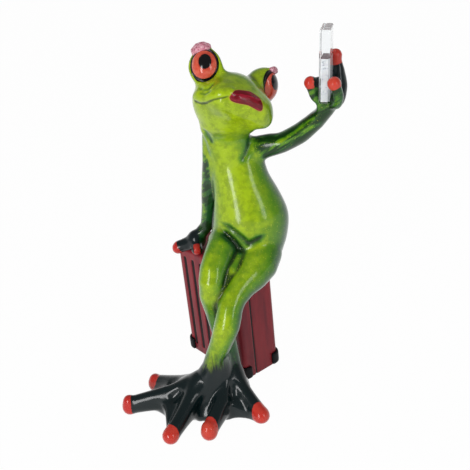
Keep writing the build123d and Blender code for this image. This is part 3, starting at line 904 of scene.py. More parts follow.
def join_castings(settings):
    """The castings as one block of clay, and the distances to each of them."""
    boxes = [box_mm(name) for name in BODY_CASTINGS]
    low = np.min([box[0] for box in boxes], axis=0) - BODY_MARGIN
    high = np.max([box[1] for box in boxes], axis=0) + BODY_MARGIN
    clay = Clay(low, high, settings.grain / MM)
    castings = {}
    for name, (passes, fillet) in BODY_CASTINGS.items():
        castings[name] = clay.casting(name, passes)
        clay.join(castings[name], getattr(settings, fillet) / MM if fillet else 0.0)
    for name in DOWELS:
        clay.join(clay.casting(name, 0), DOWEL_FILLET)
    return clay, castings


def cut_folds(clay):
    """Cut the body's folds, and give their courses with the width and strength of their shade."""
    folds = []
    for course, width, strength in FOLDS:
        laid = [clay.meet(place + FROM_FRONT, place - FROM_FRONT) for place in spaced(course)]
        clay.crease(laid, 1.2 * strength - 0.7, FOLD_FILLET)
        folds.append((laid, width, strength))
    return folds


def model_mouth(clay):
    """Model the mouth with its ridge and lips, and give the courses of its lines."""
    ridge = drawn(clay, [(left, back, up + RIDGE_ABOVE) for left, back, up in MOUTH])
    sunk = [place + unit(HEAD - place) * RIDGE_SUNK for place in ridge]
    clay.add(sunk, [RIDGE_RADIUS] * len(sunk), RIDGE_FILLET)
    lines = []
    for course, radius in MOUTH_LINES:
        laid = drawn(clay, course)
        clay.carve(laid, np.linspace(radius, MOUTH_END, len(laid)), MOUTH_FILLET)
        lines.append(laid)
    return lines


def cut_rings(clay):
    """Cut the rings under the eyes, and give their courses as those of the folds."""
    rings = []
    for course in EYE_RINGS:
        for mirror in (1, -1):
            ring = drawn(clay, [(mirror * left, back, up) for left, back, up in course])
            clay.crease(ring, RING_RADIUS, RING_FILLET)
            rings.append((ring, RING_WIDTH, RING_STRENGTH))
    return rings


def model_feet(clay):
    """Toes that swell out of the webs, with egg-shaped pads, and hollows between them."""
    for toe in TOES:
        clay.nudge((toe.tip, toe.tip * 0.6 + toe.foot * 0.4), TOE_DRAW_RADIUS, toe.draw)
        root = toe.foot + TOE_ROOT
        for height in (0.0, toe.tall * 0.8):
            tip = toe.tip + (0, 0, height)
            clay.add((root, root * 0.6 + tip * 0.4 - TOE_SAG, tip), TOE_RADII, TOE_FILLET)
    for pad in toe_pads():
        clay.add((pad.low, pad.high), (pad.radius, pad.radius * 0.9), PAD_FILLET)
    for first, second in zip(TOES, TOES[1:]):
        if first.foot is not second.foot:
            continue
        hollow = []
        for share, radius in zip(WEB_SHARES, WEB_RADII):
            between = (first.tip + second.tip) / 2
            ground = (first.foot + (between - first.foot) * share) * (1, 1, 0)
            hollow.append(clay.meet(ground + (0, 0, 30.0), ground) + (0, 0, radius * 0.75))
        clay.carve(hollow, WEB_RADII, WEB_FILLET)


def model_body(settings):
    """The frog's body as one block, the distances to its castings, its folds and mouth lines."""
    clay, castings = join_castings(settings)
    clay.work(BODY_STROKES)
    folds = cut_folds(clay)

    # Eye mounds that run up out of the head, the muzzle and the jaw
    for centre, axis in EYES.values():
        across, back, up = MOUND_ROOT
        mirror = 1 if (centre - HEAD) @ HEAD_LEFT > 0 else -1
        root = on_head((mirror * across, back, up))
        clay.add((root, centre - axis * MOUND_SUNK), MOUND_RADII, HEAD_FILLET)
    clay.work(HEAD_STROKES)

    mouth = model_mouth(clay)
    folds += cut_rings(clay)
    lips = [
        on_head((left, back + LIP_SUNK * radius, up))
        for (left, back, up), radius in zip(LIPS, LIP_RADII)
    ]
    clay.add(lips, LIP_RADII, LIP_FILLET)
    for name in EYES:
        clay.seat(*eye_frame(name), EYE_RIM + 0.1, SEAT_AHEAD)
        for course, radii in lid_courses(name):
            clay.add(course, radii, LID_FILLET)

    clay.work(HAND_STROKES)
    model_feet(clay)
    clay.stand()
    return clay, castings, folds, mouth


def fold_shade(points, folds):
    """How much painted shade lies in the folds and the rings."""
    shade = np.zeros(len(points))
    for course, width, strength in folds:
        gap = chain_distance(points, course, width * (fading(len(course)) - 1.0))
        shade = np.maximum(shade, strength * rise(gap, width, 0.2))
    return shade


def front_shade(points, normals, near, part, resting):
    """How far each place is turned to the lime front: two-tone lacquer with painted light and
    shade.
    """
    front = normals @ unit(FRONT_WAY)
    beside = normals @ unit(ARM_WAY)
    front = front + resting * (beside - front)
    front -= part["right_leg"] * rise(points[:, 2], 56.0, 44.0) * 0.45
    face = 0.64 + 0.52 * (normals @ unit(FACE_WAY))
    # Painted shade on the far eye's mound
    centre, axis = EYES["left_eye"]
    mound = chain_distance(points, (centre - axis * 8.0, centre - axis * 3.0), (0.0, 0.0))
    face -= 0.3 * rise(mound, 9.0, 6.0)
    head = rise(near["torso"] - near["head"], -3.0, 3.0) * (part["head"] | part["torso"])
    legs = part["left_leg"] | part["right_leg"]
    return front + (head * (face - front) - legs * 0.08)


def pad_distance(points):
    """Distance to the nearest red pad."""
    nearest = np.full(len(points), NO_PAD)
    for pad in toe_pads() + finger_pads():
        offset = points - pad.low
        radius = pad.radius * 1.55
        gap = chain_distance(points, (pad.low, pad.high), (radius, radius))
        gap = np.maximum(gap, -(offset @ pad.run) - pad.radius * 0.4)
        across = unit(np.cross(pad.run, UP))
        nearest = np.minimum(nearest, np.maximum(gap, abs(offset @ across) - pad.half_width))
    return nearest


def rim_distance(points):
    """Distance to the line painted round the nearest eye."""
    rims = []
    for name in EYES:
        centre, axis, top, side = eye_frame(name)
        offset = points - centre
        aside = oval_distance(offset, top, side)
        rims.append(np.hypot(aside - EYE_RIM, offset @ axis - LINE_AHEAD))
    return np.minimum(*rims)


def paint_body(piece, clay, castings, folds, mouth):
    """Write where each colour of lacquer lies."""
    points = rows(piece.data.vertices, "co") / MM
    normals = rows(piece.data.vertices, "normal")
    near = {name: clay.sample(block, points) for name, block in castings.items()}
    owner = np.argmin(list(near.values()), axis=0)
    part = {name: owner == index for index, name in enumerate(near)}
    height = points[:, 2]

    soft = clay.softened(clay.field.copy(), 14)
    raised = rise(near["torso"] - near["raised_arm"], -1.0, 3.0) * part["raised_arm"]
    resting = rise(near["torso"] - near["resting_arm"], -1.0, 1.5) * part["resting_arm"]

    # The thumb's back stays dark, with no red on it
    knuckle = chain_distance(points, THUMB_KNUCKLE, (1.7, 2.1))
    from_tip = points - THUMB[-1]
    thumb_back = np.linalg.norm(from_tip, axis=1) < 4.6
    thumb_back &= (from_tip[:, 0] > 1.2) & (from_tip[:, 2] > -1.6)
    pad = pad_distance(points)
    pad[thumb_back | (knuckle < 0.6)] = NO_PAD

    dark = np.zeros(len(points))
    for leg, heights in DARK_HEIGHTS.items():
        dark += part[leg] * rise(height, *heights)
    dark += part["resting_arm"] * rise(points[:, 0], -8.5, -12.0) * rise(height, 80.0, 74.0)
    flesh = chain_distance(points, BACK_FINGER_FLESH, (3.0, 3.4, 2.8))
    finger = chain_distance(points, BACK_FINGER, (2.4, 2.6, 2.4, 2.2))
    fingers = np.minimum(np.minimum(flesh, knuckle), finger)
    dark += part["raised_arm"] * np.maximum(rise(fingers, 1.2, 0.0), thumb_back)

    lines = [chain_distance(points, line, np.linspace(0.4, -0.05, len(line))) for line in mouth]
    lids = [chain_distance(points, *course) for name in EYES for course in lid_courses(name)]
    # fold and valley say where painted shade lies: in the skin's hollows and along the folds and
    # rings
    layers = {
        "fold": np.clip(-clay.sample(soft, points) / 0.7, 0.0, 1.0),
        "valley": fold_shade(points, folds),
        "arm": np.maximum(raised, resting),
        "front": front_shade(points, normals, near, part, resting),
        "pad": pad,
        "dark": dark,
        "lips": chain_distance(points, [on_head(point) for point in LIPS], LIP_RADII),
        "mouth": np.minimum(*lines),
        "lid": np.min(lids, axis=0),
        "rim": rim_distance(points),
    }
    for name, values in layers.items():
        write_attribute(piece, name, values)


def lacquer(settings):
    """Hand-painted green lacquer with flecks, dark hands and feet and red pads."""
    finish = Finish("frog_lacquer")
    cloud = finish.noise(0.012, 3.0)
    fine = finish.noise(0.0022, 3.0)
    streak = finish.noise(0.0012, 3.0, finish.stretched((1.0, 1.0, 9.0)))
    arm_turn = (0.0, radians(-33), radians(-26))
    along_arm = finish.noise(0.0026, 3.0, finish.stretched((6.0, 1.0, 1.0), arm_turn))
    lip_turn = (0.0, radians(27), radians(18))
    along_lips = finish.noise(0.0011, 2.0, finish.stretched((6.0, 1.0, 1.0), lip_turn))

    # Green from the dark back to the lime front with painted light and shade, and streaked arms
    arm = finish.attribute("arm")
    valley = finish.attribute("valley")
    front = finish.attribute("front") + (cloud - 0.5) * 0.55 + (fine - 0.5) * 0.35
    front = front - arm * (0.46 + (along_arm - 0.42) * 2.2) - valley * 0.9
    shade = finish.mix(front.step(0.02, 0.55), settings.bottle, settings.leaf)
    olive = finish.noise(0.0042, 5.0, roughness=0.65)
    lime = finish.mix(olive.step(0.42, 0.62) * 0.8, settings.lime, settings.olive)
    shade = finish.mix(front.step(0.45, 1.0), shade, lime)
    shade = finish.mix(arm * along_arm.step(0.4, 0.56) * 0.9, shade, settings.deep)
    # Painted shade in the hollows of the skin and along the folds and rings
    fold = finish.attribute("fold") + (fine - 0.5) * 0.2
    fold_shading = (fold.step(0.06, 0.6) * 0.92).most(valley * valley * 0.9)
    shade = finish.mix(fold_shading, shade, settings.crease)

    # Pale flecks
    fleck = finish.add(
        "ShaderNodeTexVoronoi",
        {"feature": "F1"},
        {"Vector": finish.place, "Scale": 1.0 / settings.fleck_spacing, "Randomness": 1.0},
        output="Distance",
    )
    chance = finish.noise(0.0016, 1.0)
    flecks = fleck.step(0.3, 0.16) * chance.step(0.48, 0.6) * front.step(-0.2, 0.5)
    shade = finish.mix(flecks * 0.55, shade, settings.fleck)

    # Dark hands and feet with brushed edges, and the mouth's line
    dark = finish.attribute("dark")
    dark = dark + (streak - 0.5) * 1.3 * dark.step(0.0, 0.3) * dark.step(1.0, 0.75)
    shade = finish.mix(dark.step(0.05, 0.95), shade, settings.ink)
    line = finish.attribute("mouth").step(0.6, 0.2)
    shade = finish.mix(line * 0.75, shade, settings.crease)

    # Lips, the eyes' lines, eyelids and pads
    lips = finish.attribute("lips")
    shade = finish.mix(lips.step(0.42, 0.25) * 0.6, shade, settings.lip_edge)
    red = finish.mix(along_lips.step(0.45, 0.68), settings.lip, LIP_STREAK)
    shade = finish.mix(lips.step(0.2, 0.02), shade, red)
    lid = finish.attribute("lid") + (fine - 0.5) * 0.4
    grit = finish.noise(0.0007, 2.0)
    pink = finish.mix(grit.step(0.42, 0.62), settings.lid, LID_PALE)
    pink = finish.mix(grit.step(0.42, 0.32) * 0.4, pink, LID_DEEP)
    on_lid = lid.step(0.4, 0.1)
    shade = finish.mix(finish.attribute("rim").step(0.6, 0.35), shade, LINE_BLACK)
    shade = finish.mix(on_lid, shade, pink)
    pad = finish.attribute("pad") + (fine - 0.5) * 0.6
    coral = finish.mix(cloud.step(0.35, 0.7), settings.tip, PAD_CLOUD)
    shade = finish.mix(pad.step(0.25, -0.1), shade, coral)

    pebble = finish.add(
        "ShaderNodeTexVoronoi",
        {"feature": "SMOOTH_F1"},
        {"Vector": finish.place, "Scale": 1300.0},
        output="Distance",
    )
    height = finish.noise(0.005, 2.0) * 0.5 + pebble * on_lid * 2.0 + fine * 0.06
    finish.surface(
        Base_Color=shade,
        Roughness=0.3 + cloud * 0.12,
        Coat_Weight=0.8 - on_lid * 0.5,
        Coat_Roughness=0.14,
        Coat_IOR=1.4,
        Specular_IOR_Level=0.12,
        Normal=finish.bump(height, 0.00022),
    )
    return finish.material


class FROG_OT_body(Operator):
    """Model the frog's body over its castings and lacquer it"""

    bl_idname = "frog.body"
    bl_label = "Body"

    def execute(self, context):
        settings = context.scene.frog_skin
        clay, castings, folds, mouth = model_body(settings)
        points, quads = clay.surface()
        if not len(quads):
            raise RuntimeError("The body has no surface")
        piece = make_object("frog_body", evened(points, quads, 6), quads, lacquer(settings))
        face_outward(piece)
        paint_body(piece, clay, castings, folds, mouth)
        seat(piece, "frog_lacquer", *BODY_CASTINGS)
        return {"FINISHED"}


def turned(profile, centre, axis, top, side, segments):
    """Corners and faces of an oval form about an axis, closed at its last point."""
    points = []
    for radius, ahead in profile[:-1]:
        for index in range(segments):
            turn = 2 * pi * index / segments
            spoke = top * (EYE_TALL * cos(turn)) + side * (EYE_WIDE * sin(turn))
            points.append(centre + axis * ahead + spoke * radius)
    faces = ring_faces(len(profile) - 1, segments)
    last, tip = len(points) - segments, len(points)
    points.append(centre + axis * profile[-1][1])
    faces += [(last + i, tip, last + (i + 1) % segments) for i in range(segments)]
    faces.append(tuple(range(segments)))
    return np.array(points), faces


def eye_profile(settings):
    """An eye's outline from its skirt over the bead to the dome's top: distances out and ahead."""
    dome, rim = settings.dome / MM, settings.rim / MM
    profile = [(EYE_RIM - 0.05, SKIRT_AHEAD)]
    for turn in range(-20, 131, 15):
        bead = radians(turn)
        profile.append((EYE_RIM - rim + rim * cos(bead), BEAD_AHEAD + rim * sin(bead)))
    start = profile[-1][0]
    for index in range(1, DOME_STEPS + 1):
        radius = start * cos(pi / 2 * index / DOME_STEPS)
        bulge = (dome**2 - radius**2) ** 0.5 - (dome**2 - start**2) ** 0.5
        profile.append((radius, DOME_AHEAD + bulge * DOME_SHARE))
    return profile


def eye_lacquer(settings):
    """Coral iris, black pupil and black rim under clear gloss."""
    finish = Finish("eye_lacquer")
    radius = finish.attribute("radius")
    inner = finish.attribute("from_pupil")
    fine = finish.noise(0.0016, 3.0)
    cloud = finish.noise(0.005, 2.0)
    pupil, iris = settings.pupil / MM, settings.iris / MM
    coral = finish.mix(fine.step(0.35, 0.7), settings.coral, IRIS_PALE)
    coral = finish.mix(inner.step(pupil + 0.9, pupil - 0.2) * 0.6, coral, IRIS_DEEP)
    coral = finish.mix(cloud.step(0.45, 0.8) * 0.5, coral, IRIS_CLOUD)
    ring = (radius + (fine - 0.5) * 0.3).step(iris - 0.1, iris + 0.12)
    disc = (inner + (fine - 0.5) * 0.12).step(pupil + 0.08, pupil - 0.08)
    finish.surface(
        Base_Color=finish.mix(ring.most(disc), coral, settings.black),
        Roughness=0.18 + fine * 0.1,
        Specular_IOR_Level=0.1,
        Coat_Weight=1.0,
        Coat_Roughness=0.04,
        Coat_IOR=1.4,
        Normal=finish.bump(cloud, 0.0001),
    )
    return finish.material


class FROG_OT_eyes(Operator):
    """Turn the glossy eyes with their rims"""

    bl_idname = "frog.eyes"
    bl_label = "Eyes"

    def execute(self, context):
        settings = context.scene.frog_eyes
        material = eye_lacquer(settings)
        profile = eye_profile(settings)
        for name in EYES:
            centre, axis, top, side = eye_frame(name)
            points, faces = turned(profile, centre, axis, top, side, EYE_SEGMENTS)
            piece = make_object(f"{name}_dome", points, faces, material)
            face_outward(piece)
            above, aside = (points - centre) @ top, (points - centre) @ side
            write_attribute(piece, "radius", np.hypot(above / IRIS_TALL, aside / IRIS_WIDE))
            above, aside = above - PUPILS[name][0], aside - PUPILS[name][1]
            write_attribute(piece, "from_pupil", np.hypot(above / EYE_TALL, aside / EYE_WIDE))
            seat(piece, "eye_lacquer", name)
        return {"FINISHED"}


def case_outline():
    """The case's round-cornered outline in small steps, in its along and across."""
    half = CASE_SIZE[:2] / 2
    arcs = []
    for ways, start in (((1, -1), -90), ((1, 1), 0), ((-1, 1), 90), ((-1, -1), 180)):
        centre = np.array(ways) * (half - CASE_CORNER)
        turns = [radians(start + turn) for turn in range(0, 91, 10)]
        arcs.append([centre + CASE_CORNER * np.array((cos(turn), sin(turn))) for turn in turns])
    outline = []
    for arc, following in zip(arcs, arcs[1:] + arcs[:1]):
        start, run = arc[-1], following[0] - arc[-1]
        count = max(2, int(np.linalg.norm(run) / CASE_STEP))
        outline += arc[:-1] + [start + run * (index / count) for index in range(count)]
    return np.array(outline)


def case_block():
    """A round-cornered block, open below, in small steps, in the case's along, across and up."""
    outline, half, height = case_outline(), CASE_SIZE[:2] / 2, CASE_SIZE[2]
    shoulder = height - CASE_TOP
    rings = [(outline, level) for level in np.linspace(0.0, shoulder, int(height / CASE_STEP))]
    for turn in range(10, 91, 10):
        drop = CASE_TOP * (1 - cos(radians(turn)))
        level = shoulder + CASE_TOP * sin(radians(turn))
        rings.append((outline * ((half - drop) / half), level))
    for share in np.linspace(0.95, 0.05, 20):
        rings.append((outline * ((half - CASE_TOP) / half * share), height))
    count = len(outline)
    points = [np.column_stack((ring, np.full(count, level))) for ring, level in rings]
    faces = ring_faces(len(rings), count)
    faces.append(tuple(range((len(rings) - 1) * count, len(rings) * count)))
    return np.concatenate(points), faces


def groove_tree(settings, material):
    """A node tree that presses the grooves and the seams into the case, and its inputs' values."""
    sizes = {
        "Count": float(settings.groove_count),
        "Pitch": settings.groove_pitch,
        "Width": settings.groove_width,
        "Depth": settings.groove_depth,
        "Top": settings.groove_top,
        "Foot": settings.groove_foot,
        "Seam Width": settings.seam_width,
        "Seam Depth": settings.seam_depth,
    }
    tree = bpy.data.node_groups.new("Case grooves", "GeometryNodeTree")
    tree.is_modifier = True
    socket = tree.interface.new_socket
    socket("Geometry", in_out="INPUT", socket_type="NodeSocketGeometry")
    for name in sizes:
        socket(name, in_out="INPUT", socket_type="NodeSocketFloat")
    socket("Material", in_out="INPUT", socket_type="NodeSocketMaterial")
    socket("Geometry", in_out="OUTPUT", socket_type="NodeSocketGeometry")
    board = Board(tree)
    entry = tree.nodes.new("NodeGroupInput")
    position = board.add("GeometryNodeInputPosition")

    def given(name):
        return Flow(board, entry.outputs[name])

    def vector_math(operation, inputs, output="Vector"):
        return board.add("ShaderNodeVectorMath", {"operation": operation}, inputs, output)

    def along(direction):
        return vector_math("DOT_PRODUCT", {0: position, 1: tuple(direction)}, "Value")

    def scaled(direction, amount):
        return vector_math("SCALE", {0: tuple(direction), "Scale": amount})

    def at_face(reach, size):
        return abs(reach).step(size / 2 - 0.3 * MM, size / 2 - 0.1 * MM)

    lengthwise, crosswise, height = along(CASE_ALONG), along(CASE_ACROSS), along(UP)
    width, depth, tall = (float(size) * MM for size in CASE_SIZE)

    # Grooves in the broad faces, round at their ends
    pitch, first = given("Pitch"), FIRST_GROOVE * width
    number = ((lengthwise - first) / pitch).math("ROUND")
    number = number.most(0.0).least(given("Count") - 1.0)
    aside = lengthwise - (number * pitch + first)
    above = (height - (tall - given("Top"))).most(0.0)
    below = (given("Foot") - height).most(0.0)
    gap = (aside * aside + above * above + below * below).math("SQRT")
    groove = (1.0 - (gap / (given("Width") * 0.5)).least(1.0)).eased()
    groove = groove * at_face(crosswise, depth)

    # A seam up each narrow side
    gap = abs(crosswise + SEAM_PLACE * depth)
    seam = (1.0 - (gap / (given("Seam Width") * 0.5)).least(1.0)).eased()
    seam = seam * at_face(lengthwise, width)

    groove_push = groove * crosswise.math("SIGN") * given("Depth")
    seam_push = seam * lengthwise.math("SIGN") * given("Seam Depth")
    push = vector_math(
        "ADD", {0: scaled(-CASE_ACROSS, groove_push), 1: scaled(-CASE_ALONG, seam_push)}
    )
    shape = board.add(
        "GeometryNodeStoreNamedAttribute",
        {"data_type": "FLOAT", "domain": "POINT"},
        {"Geometry": given("Geometry"), "Name": "groove", "Value": groove.most(seam)},
    )
    shape = board.add("GeometryNodeSetPosition", inputs={"Geometry": shape, "Offset": push})
    shape = board.add("GeometryNodeRealizeInstances", inputs={"Geometry": shape})
    shape = board.add(
        "GeometryNodeSetMaterial", inputs={"Geometry": shape, "Material": given("Material")}
    )
    leave = tree.nodes.new("NodeGroupOutput")
    board.set(leave.inputs["Geometry"], shape)
    return tree, {**sizes, "Material": material}


def apply_tree(piece, tree, values):
    """Run a node tree on a piece and keep its result as a plain mesh."""
    modifier = piece.modifiers.new("Shape", "NODES")
    modifier.node_group = tree
    for item in tree.interface.items_tree:
        if item.item_type == "SOCKET" and item.in_out == "INPUT" and item.name in values:
            modifier[item.identifier] = values[item.name]
    bpy.context.view_layer.update()
    evaluated = piece.evaluated_get(bpy.context.evaluated_depsgraph_get())
    mesh = bpy.data.meshes.new_from_object(evaluated)
    piece.modifiers.remove(modifier)
    old, piece.data = piece.data, mesh
    mesh.name = piece.name
    bpy.data.meshes.remove(old)


def case_paint(settings):
    """Satin maroon paint, brushed and clouded, with painted shade in the grooves and seams."""
    finish = Finish("case_paint")
    groove = finish.attribute("groove")
    brush = finish.noise(0.004, 3.0, finish.stretched((1.0, 1.0, 8.0)))
    fine = finish.noise(0.0012, 2.0)
    cloud = finish.noise(0.018, 2.0)
    shade = finish.mix(brush.step(0.35, 0.7), settings.maroon, CASE_BRUSHED)
    shade = finish.mix(cloud.step(0.5, 0.8) * 0.4, shade, CASE_RUBBED)
    # Painted shade in the grooves and seams
    shade = finish.mix((groove + (fine - 0.5) * 0.2).step(0.08, 0.42), shade, settings.shade)
    finish.surface(
        Base_Color=shade,
        Roughness=0.42 + brush * 0.16,
        Specular_IOR_Level=0.2,
        Coat_Weight=0.2,
        Coat_Roughness=0.3,
        Normal=finish.bump(brush * 0.6 + fine * 0.3, 0.00012),
    )
    return finish.material


def guard_plastic(settings):
    """Black paint with a little wear."""
    finish = Finish("guard_black")
    fine = finish.noise(0.0012, 3.0)
    finish.surface(
        Base_Color=finish.mix(fine.step(0.5, 0.8) * 0.4, settings.guard, GUARD_WORN),
        Roughness=0.4 + fine * 0.2,
        Specular_IOR_Level=0.1,
        Coat_Weight=0.06,
        Coat_Roughness=0.2,
        Normal=finish.bump(fine, 0.0001),
    )
    return finish.material


def base_board(settings):
    """Matt black board with a felted grain."""
    finish = Finish("base_board")
    fine = finish.noise(0.0009, 4.0)
    cloud = finish.noise(0.01, 2.0)
    finish.surface(
        Base_Color=finish.mix(fine.step(0.3, 0.7), settings.board, BOARD_FELT),
        Roughness=0.8 + cloud * 0.15,
        Normal=finish.bump(fine, 0.0002),
    )
    return finish.material


class FROG_OT_case(Operator):
    """Make the travelling case with its grooves, guards and base"""

    bl_idname = "frog.case"
    bl_label = "Travelling Case"

    def execute(self, context):
        settings = context.scene.frog_case
        material = case_paint(settings)
        points, faces = case_block()
        points = points[:, :1] * CASE_ALONG + points[:, 1:2] * CASE_ACROSS + points[:, 2:] * UP
        piece = make_object("case_shell_grooved", points, faces, material)
        apply_tree(piece, *groove_tree(settings, material))
        face_outward(piece)
        piece.data.shade_smooth()
        seat(piece, "case_paint", "case_shell")
        dress("case_base", base_board(settings))
        guard = guard_plastic(settings)
        for number in range(1, 5):
            name = f"case_guard_{number}"
            low, high = box_mm(name)
            clay = Clay(low - GUARD_MARGIN, high + GUARD_MARGIN, GUARD_GRAIN)
            clay.join(clay.casting(name, GUARD_PASSES) - GUARD_SWELL, 0.0)
            clay.stand()
            points, quads = clay.surface()
            piece = make_object(f"{name}_cap", evened(points, quads, 4), quads, guard)
            face_outward(piece)
            seat(piece, "guard_black", name)
        return {"FINISHED"}


def acrylic(settings):
    """Clear acrylic with a faint ripple."""
    finish = Finish("clear_acrylic")
    ripple = finish.noise(0.006, 1.0)
    finish.surface(
        Base_Color=(*settings.clear, 1.0),
        Roughness=0.03 + ripple * 0.04,
        IOR=1.45,
        Transmission_Weight=1.0,
        Normal=finish.bump(ripple, 0.00006),
    )
    return finish.material


def silver_foil(settings):
    """Crinkled silver under the acrylic, with a dark line at its top."""
    finish = Finish("phone_foil")
    fine = finish.noise(0.0011, 4.0)
    cloud = finish.noise(0.004, 2.0)
    shade = finish.mix(fine.step(0.4, 0.62), settings.foil, FOIL_BRIGHT)
    shade = finish.mix(fine.step(0.42, 0.34) * 0.6, shade, FOIL_DULL)
    shade = finish.mix(finish.attribute("rise").step(0.975, 0.99), shade, settings.band)
    finish.surface(
        Base_Color=shade,
        Roughness=0.34 + cloud * 0.3,
        Metallic=0.1 + cloud * 0.1,
        Normal=finish.bump(fine, 0.0003),
    )
    return finish.material


def dowel_steel(settings):
    """Plain drawn steel."""
    finish = Finish("dowel_steel")
    fine = finish.noise(0.0008, 3.0)
    finish.surface(
        Base_Color=finish.mix(fine, settings.steel, STEEL_DULL),
        Metallic=1.0,
        Roughness=0.3 + fine * 0.2,
    )
    return finish.material


def rounded_slab(size, centre, radius, material, name):
    """A slab with round edges, stood along the phone."""
    shell = bmesh.new()
    bmesh.ops.create_cube(shell, size=1.0)
    for vertex in shell.verts:
        vertex.co = Vector([c * s for c, s in zip(vertex.co, size)])
    bmesh.ops.bevel(
        shell, geom=shell.edges[:], offset=radius, segments=5, profile=0.5, affect="EDGES"
    )
    for vertex in shell.verts:
        x, y, z = vertex.co
        vertex.co = Vector((centre + PHONE_SIDE * x + PHONE_BACK * y + PHONE_UP * z) * MM)
    bmesh.ops.recalc_face_normals(shell, faces=shell.faces)
    mesh = bpy.data.meshes.new(name)
    shell.to_mesh(mesh)
    shell.free()
    return stand_mesh(name, mesh, material)


class FROG_OT_phone(Operator):
    """Make the clear phone with its silvered lower part, and the steel dowels"""

    bl_idname = "frog.phone"
    bl_label = "Clear Phone"

    def execute(self, context):
        settings = context.scene.frog_phone
        middle = PHONE_FOOT + PHONE_UP * PHONE_SIZE[2] / 2
        slab = rounded_slab(PHONE_SIZE, middle, PHONE_EDGE, acrylic(settings), "phone_slab")
        seat(slab, "clear_acrylic", "phone")
        inset, tall = settings.foil_inset / MM, settings.foil_height / MM
        size = (PHONE_SIZE[0] - 2 * inset, PHONE_SIZE[1] - 2 * inset, tall)
        middle = PHONE_FOOT + PHONE_UP * (inset + tall / 2)
        foil = rounded_slab(size, middle, FOIL_EDGE, silver_foil(settings), "phone_foil")
        rises = (rows(foil.data.vertices, "co") / MM - PHONE_FOOT) @ PHONE_UP
        write_attribute(foil, "rise", (rises - inset) / tall)
        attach(foil, "root")
        steel = dowel_steel(settings)
        for name in DOWELS:
            dress(name, steel)
        return {"FINISHED"}


def add_camera(settings):
    """Stand the camera where the photo was taken from."""
    pitch, roll = settings.camera_pitch, settings.camera_roll
    right = Vector((1.0, 0.0, 0.0))
    up = Vector((0.0, sin(pitch), cos(pitch)))
    ahead = Vector((0.0, cos(pitch), -sin(pitch)))
    leaned_right = right * cos(roll) + up * sin(roll)
    leaned_up = up * cos(roll) - right * sin(roll)
    camera = bpy.data.cameras.new("Camera")
    camera.sensor_width = 36.0
    camera.sensor_fit = "HORIZONTAL"
    camera.lens = camera.sensor_width * settings.focal_pixels / PHOTO_WIDTH
    camera.clip_start = 0.01
    holder = bpy.data.objects.new("Camera", camera)
    turn = Matrix((leaned_right, leaned_up, -ahead)).transposed().to_4x4()
    holder.matrix_world = Matrix.Translation(settings.camera_place) @ turn
    bpy.context.scene.collection.objects.link(holder)
    bpy.context.scene.camera = holder


def add_lamp(name, place, size, watts, mirrored):
    """Hang a soft oval lamp that looks at the figure."""
    lamp = bpy.data.lights.new(name, "AREA")
    lamp.shape = "ELLIPSE"
    lamp.size, lamp.size_y = size
    lamp.energy = watts
    holder = bpy.data.objects.new(name, lamp)
    holder.location = place
    holder.rotation_euler = (LAMP_TARGET - Vector(place)).to_track_quat("-Z", "Y").to_euler()
    holder.visible_glossy = mirrored
    bpy.context.scene.collection.objects.link(holder)


def seen(board, *ways):
    """1 where a surface is seen in one of these ways: Camera, Glossy or Transmission."""
    path = board.tree.nodes.new("ShaderNodeLightPath")
    most, *others = [Flow(board, path.outputs[f"Is {way} Ray"]) for way in ways]
    for ray in others:
        most = most.most(ray)
    return most


def lay_floor(settings):
    """Lay pale paper that keeps the figure's shadow and shows nearly white."""
    finish = Finish("floor_paper")
    paper = finish.noise(0.05, 2.0)
    tone = finish.mix(paper.step(0.3, 0.7), settings.floor, FLOOR_PAPER)
    finish.surface(Base_Color=tone, Roughness=0.9)
    glow = finish.add("ShaderNodeEmission", inputs={"Color": WHITE, "Strength": 1.0})
    blend = finish.add(
        "ShaderNodeMixShader",
        inputs={
            0: seen(finish, "Camera", "Glossy", "Transmission") * 0.98,
            1: Flow(finish, finish.shader.outputs[0]),
            2: glow,
        },
    )
    finish.set(finish.tree.nodes["Material Output"].inputs["Surface"], blend)
    ways = ((-1, -1), (1, -1), (1, 1), (-1, 1))
    points = [(x * FLOOR_HALF, y * FLOOR_HALF, -FLOOR_DROP) for x, y in ways]
    make_object("floor", points, [(0, 1, 2, 3)], finish.material)


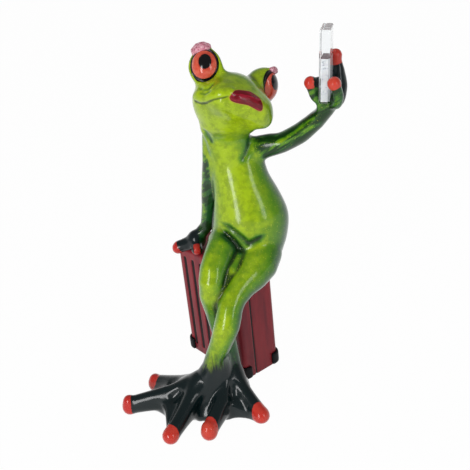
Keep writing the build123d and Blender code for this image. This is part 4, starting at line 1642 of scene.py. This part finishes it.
def light_room(settings):
    """White paper behind the figure and a dimmer room in front of it."""
    world = bpy.data.worlds.new("Studio")
    world.use_nodes = True
    board = Board(world.node_tree)
    background = world.node_tree.nodes["Background"]
    background.inputs["Color"].default_value = WHITE
    direction = board.add("ShaderNodeTexCoord", output="Generated")
    behind = board.add("ShaderNodeSeparateXYZ", inputs={"Vector": direction}, output="Y")
    above = board.add("ShaderNodeSeparateXYZ", inputs={"Vector": direction}, output="Z")
    paper = behind.step(-0.2, 0.6) * above.step(0.45, 0.15)
    light = settings.room + paper * (1.0 - settings.room)
    board.set(background.inputs["Strength"], light.most(seen(board, "Camera", "Transmission")))
    bpy.context.scene.world = world


class FROG_OT_stage(Operator):
    """Set up the camera, the floor and the studio lamps"""

    bl_idname = "frog.stage"
    bl_label = "Stage"

    def execute(self, context):
        settings = context.scene.frog_stage
        context.scene.view_settings.view_transform = "Standard"
        add_camera(settings)
        lay_floor(settings)
        light_room(settings)
        for name, (place, size, watts, mirrored) in LAMPS.items():
            add_lamp(name, place, size, getattr(settings, watts), mirrored)
        return {"FINISHED"}


class FROG_PT_panel(Panel):
    """Lists the figure's pieces and their settings"""

    bl_idname = "FROG_PT_panel"
    bl_label = "Frog"
    bl_space_type = "VIEW_3D"
    bl_region_type = "UI"
    bl_category = "Frog"

    def draw(self, context):
        layout = self.layout
        for operator, group in PIECES:
            layout.operator(operator)
            settings = getattr(context.scene, group)
            column = layout.column(align=True)
            for name in settings.__annotations__:
                column.prop(settings, name)


PIECES = (
    ("frog.stage", "frog_stage"),
    ("frog.body", "frog_skin"),
    ("frog.eyes", "frog_eyes"),
    ("frog.case", "frog_case"),
    ("frog.phone", "frog_phone"),
)
GROUPS = {
    "frog_skin": FrogSkinSettings,
    "frog_eyes": FrogEyeSettings,
    "frog_case": FrogCaseSettings,
    "frog_phone": FrogPhoneSettings,
    "frog_stage": FrogStageSettings,
}
CLASSES = (
    *GROUPS.values(), FROG_OT_body, FROG_OT_eyes, FROG_OT_case, FROG_OT_phone, FROG_OT_stage,
    FROG_PT_panel,
)


def register():
    for item in CLASSES:
        bpy.utils.register_class(item)
    for name, group in GROUPS.items():
        setattr(bpy.types.Scene, name, PointerProperty(type=group))


def unregister():
    for name in GROUPS:
        delattr(bpy.types.Scene, name)
    for item in reversed(CLASSES):
        bpy.utils.unregister_class(item)


def main():
    register()
    bpy.ops.frog.stage()
    bpy.ops.frog.body()
    bpy.ops.frog.eyes()
    bpy.ops.frog.case()
    bpy.ops.frog.phone()


if __name__ == "__main__":
    main()
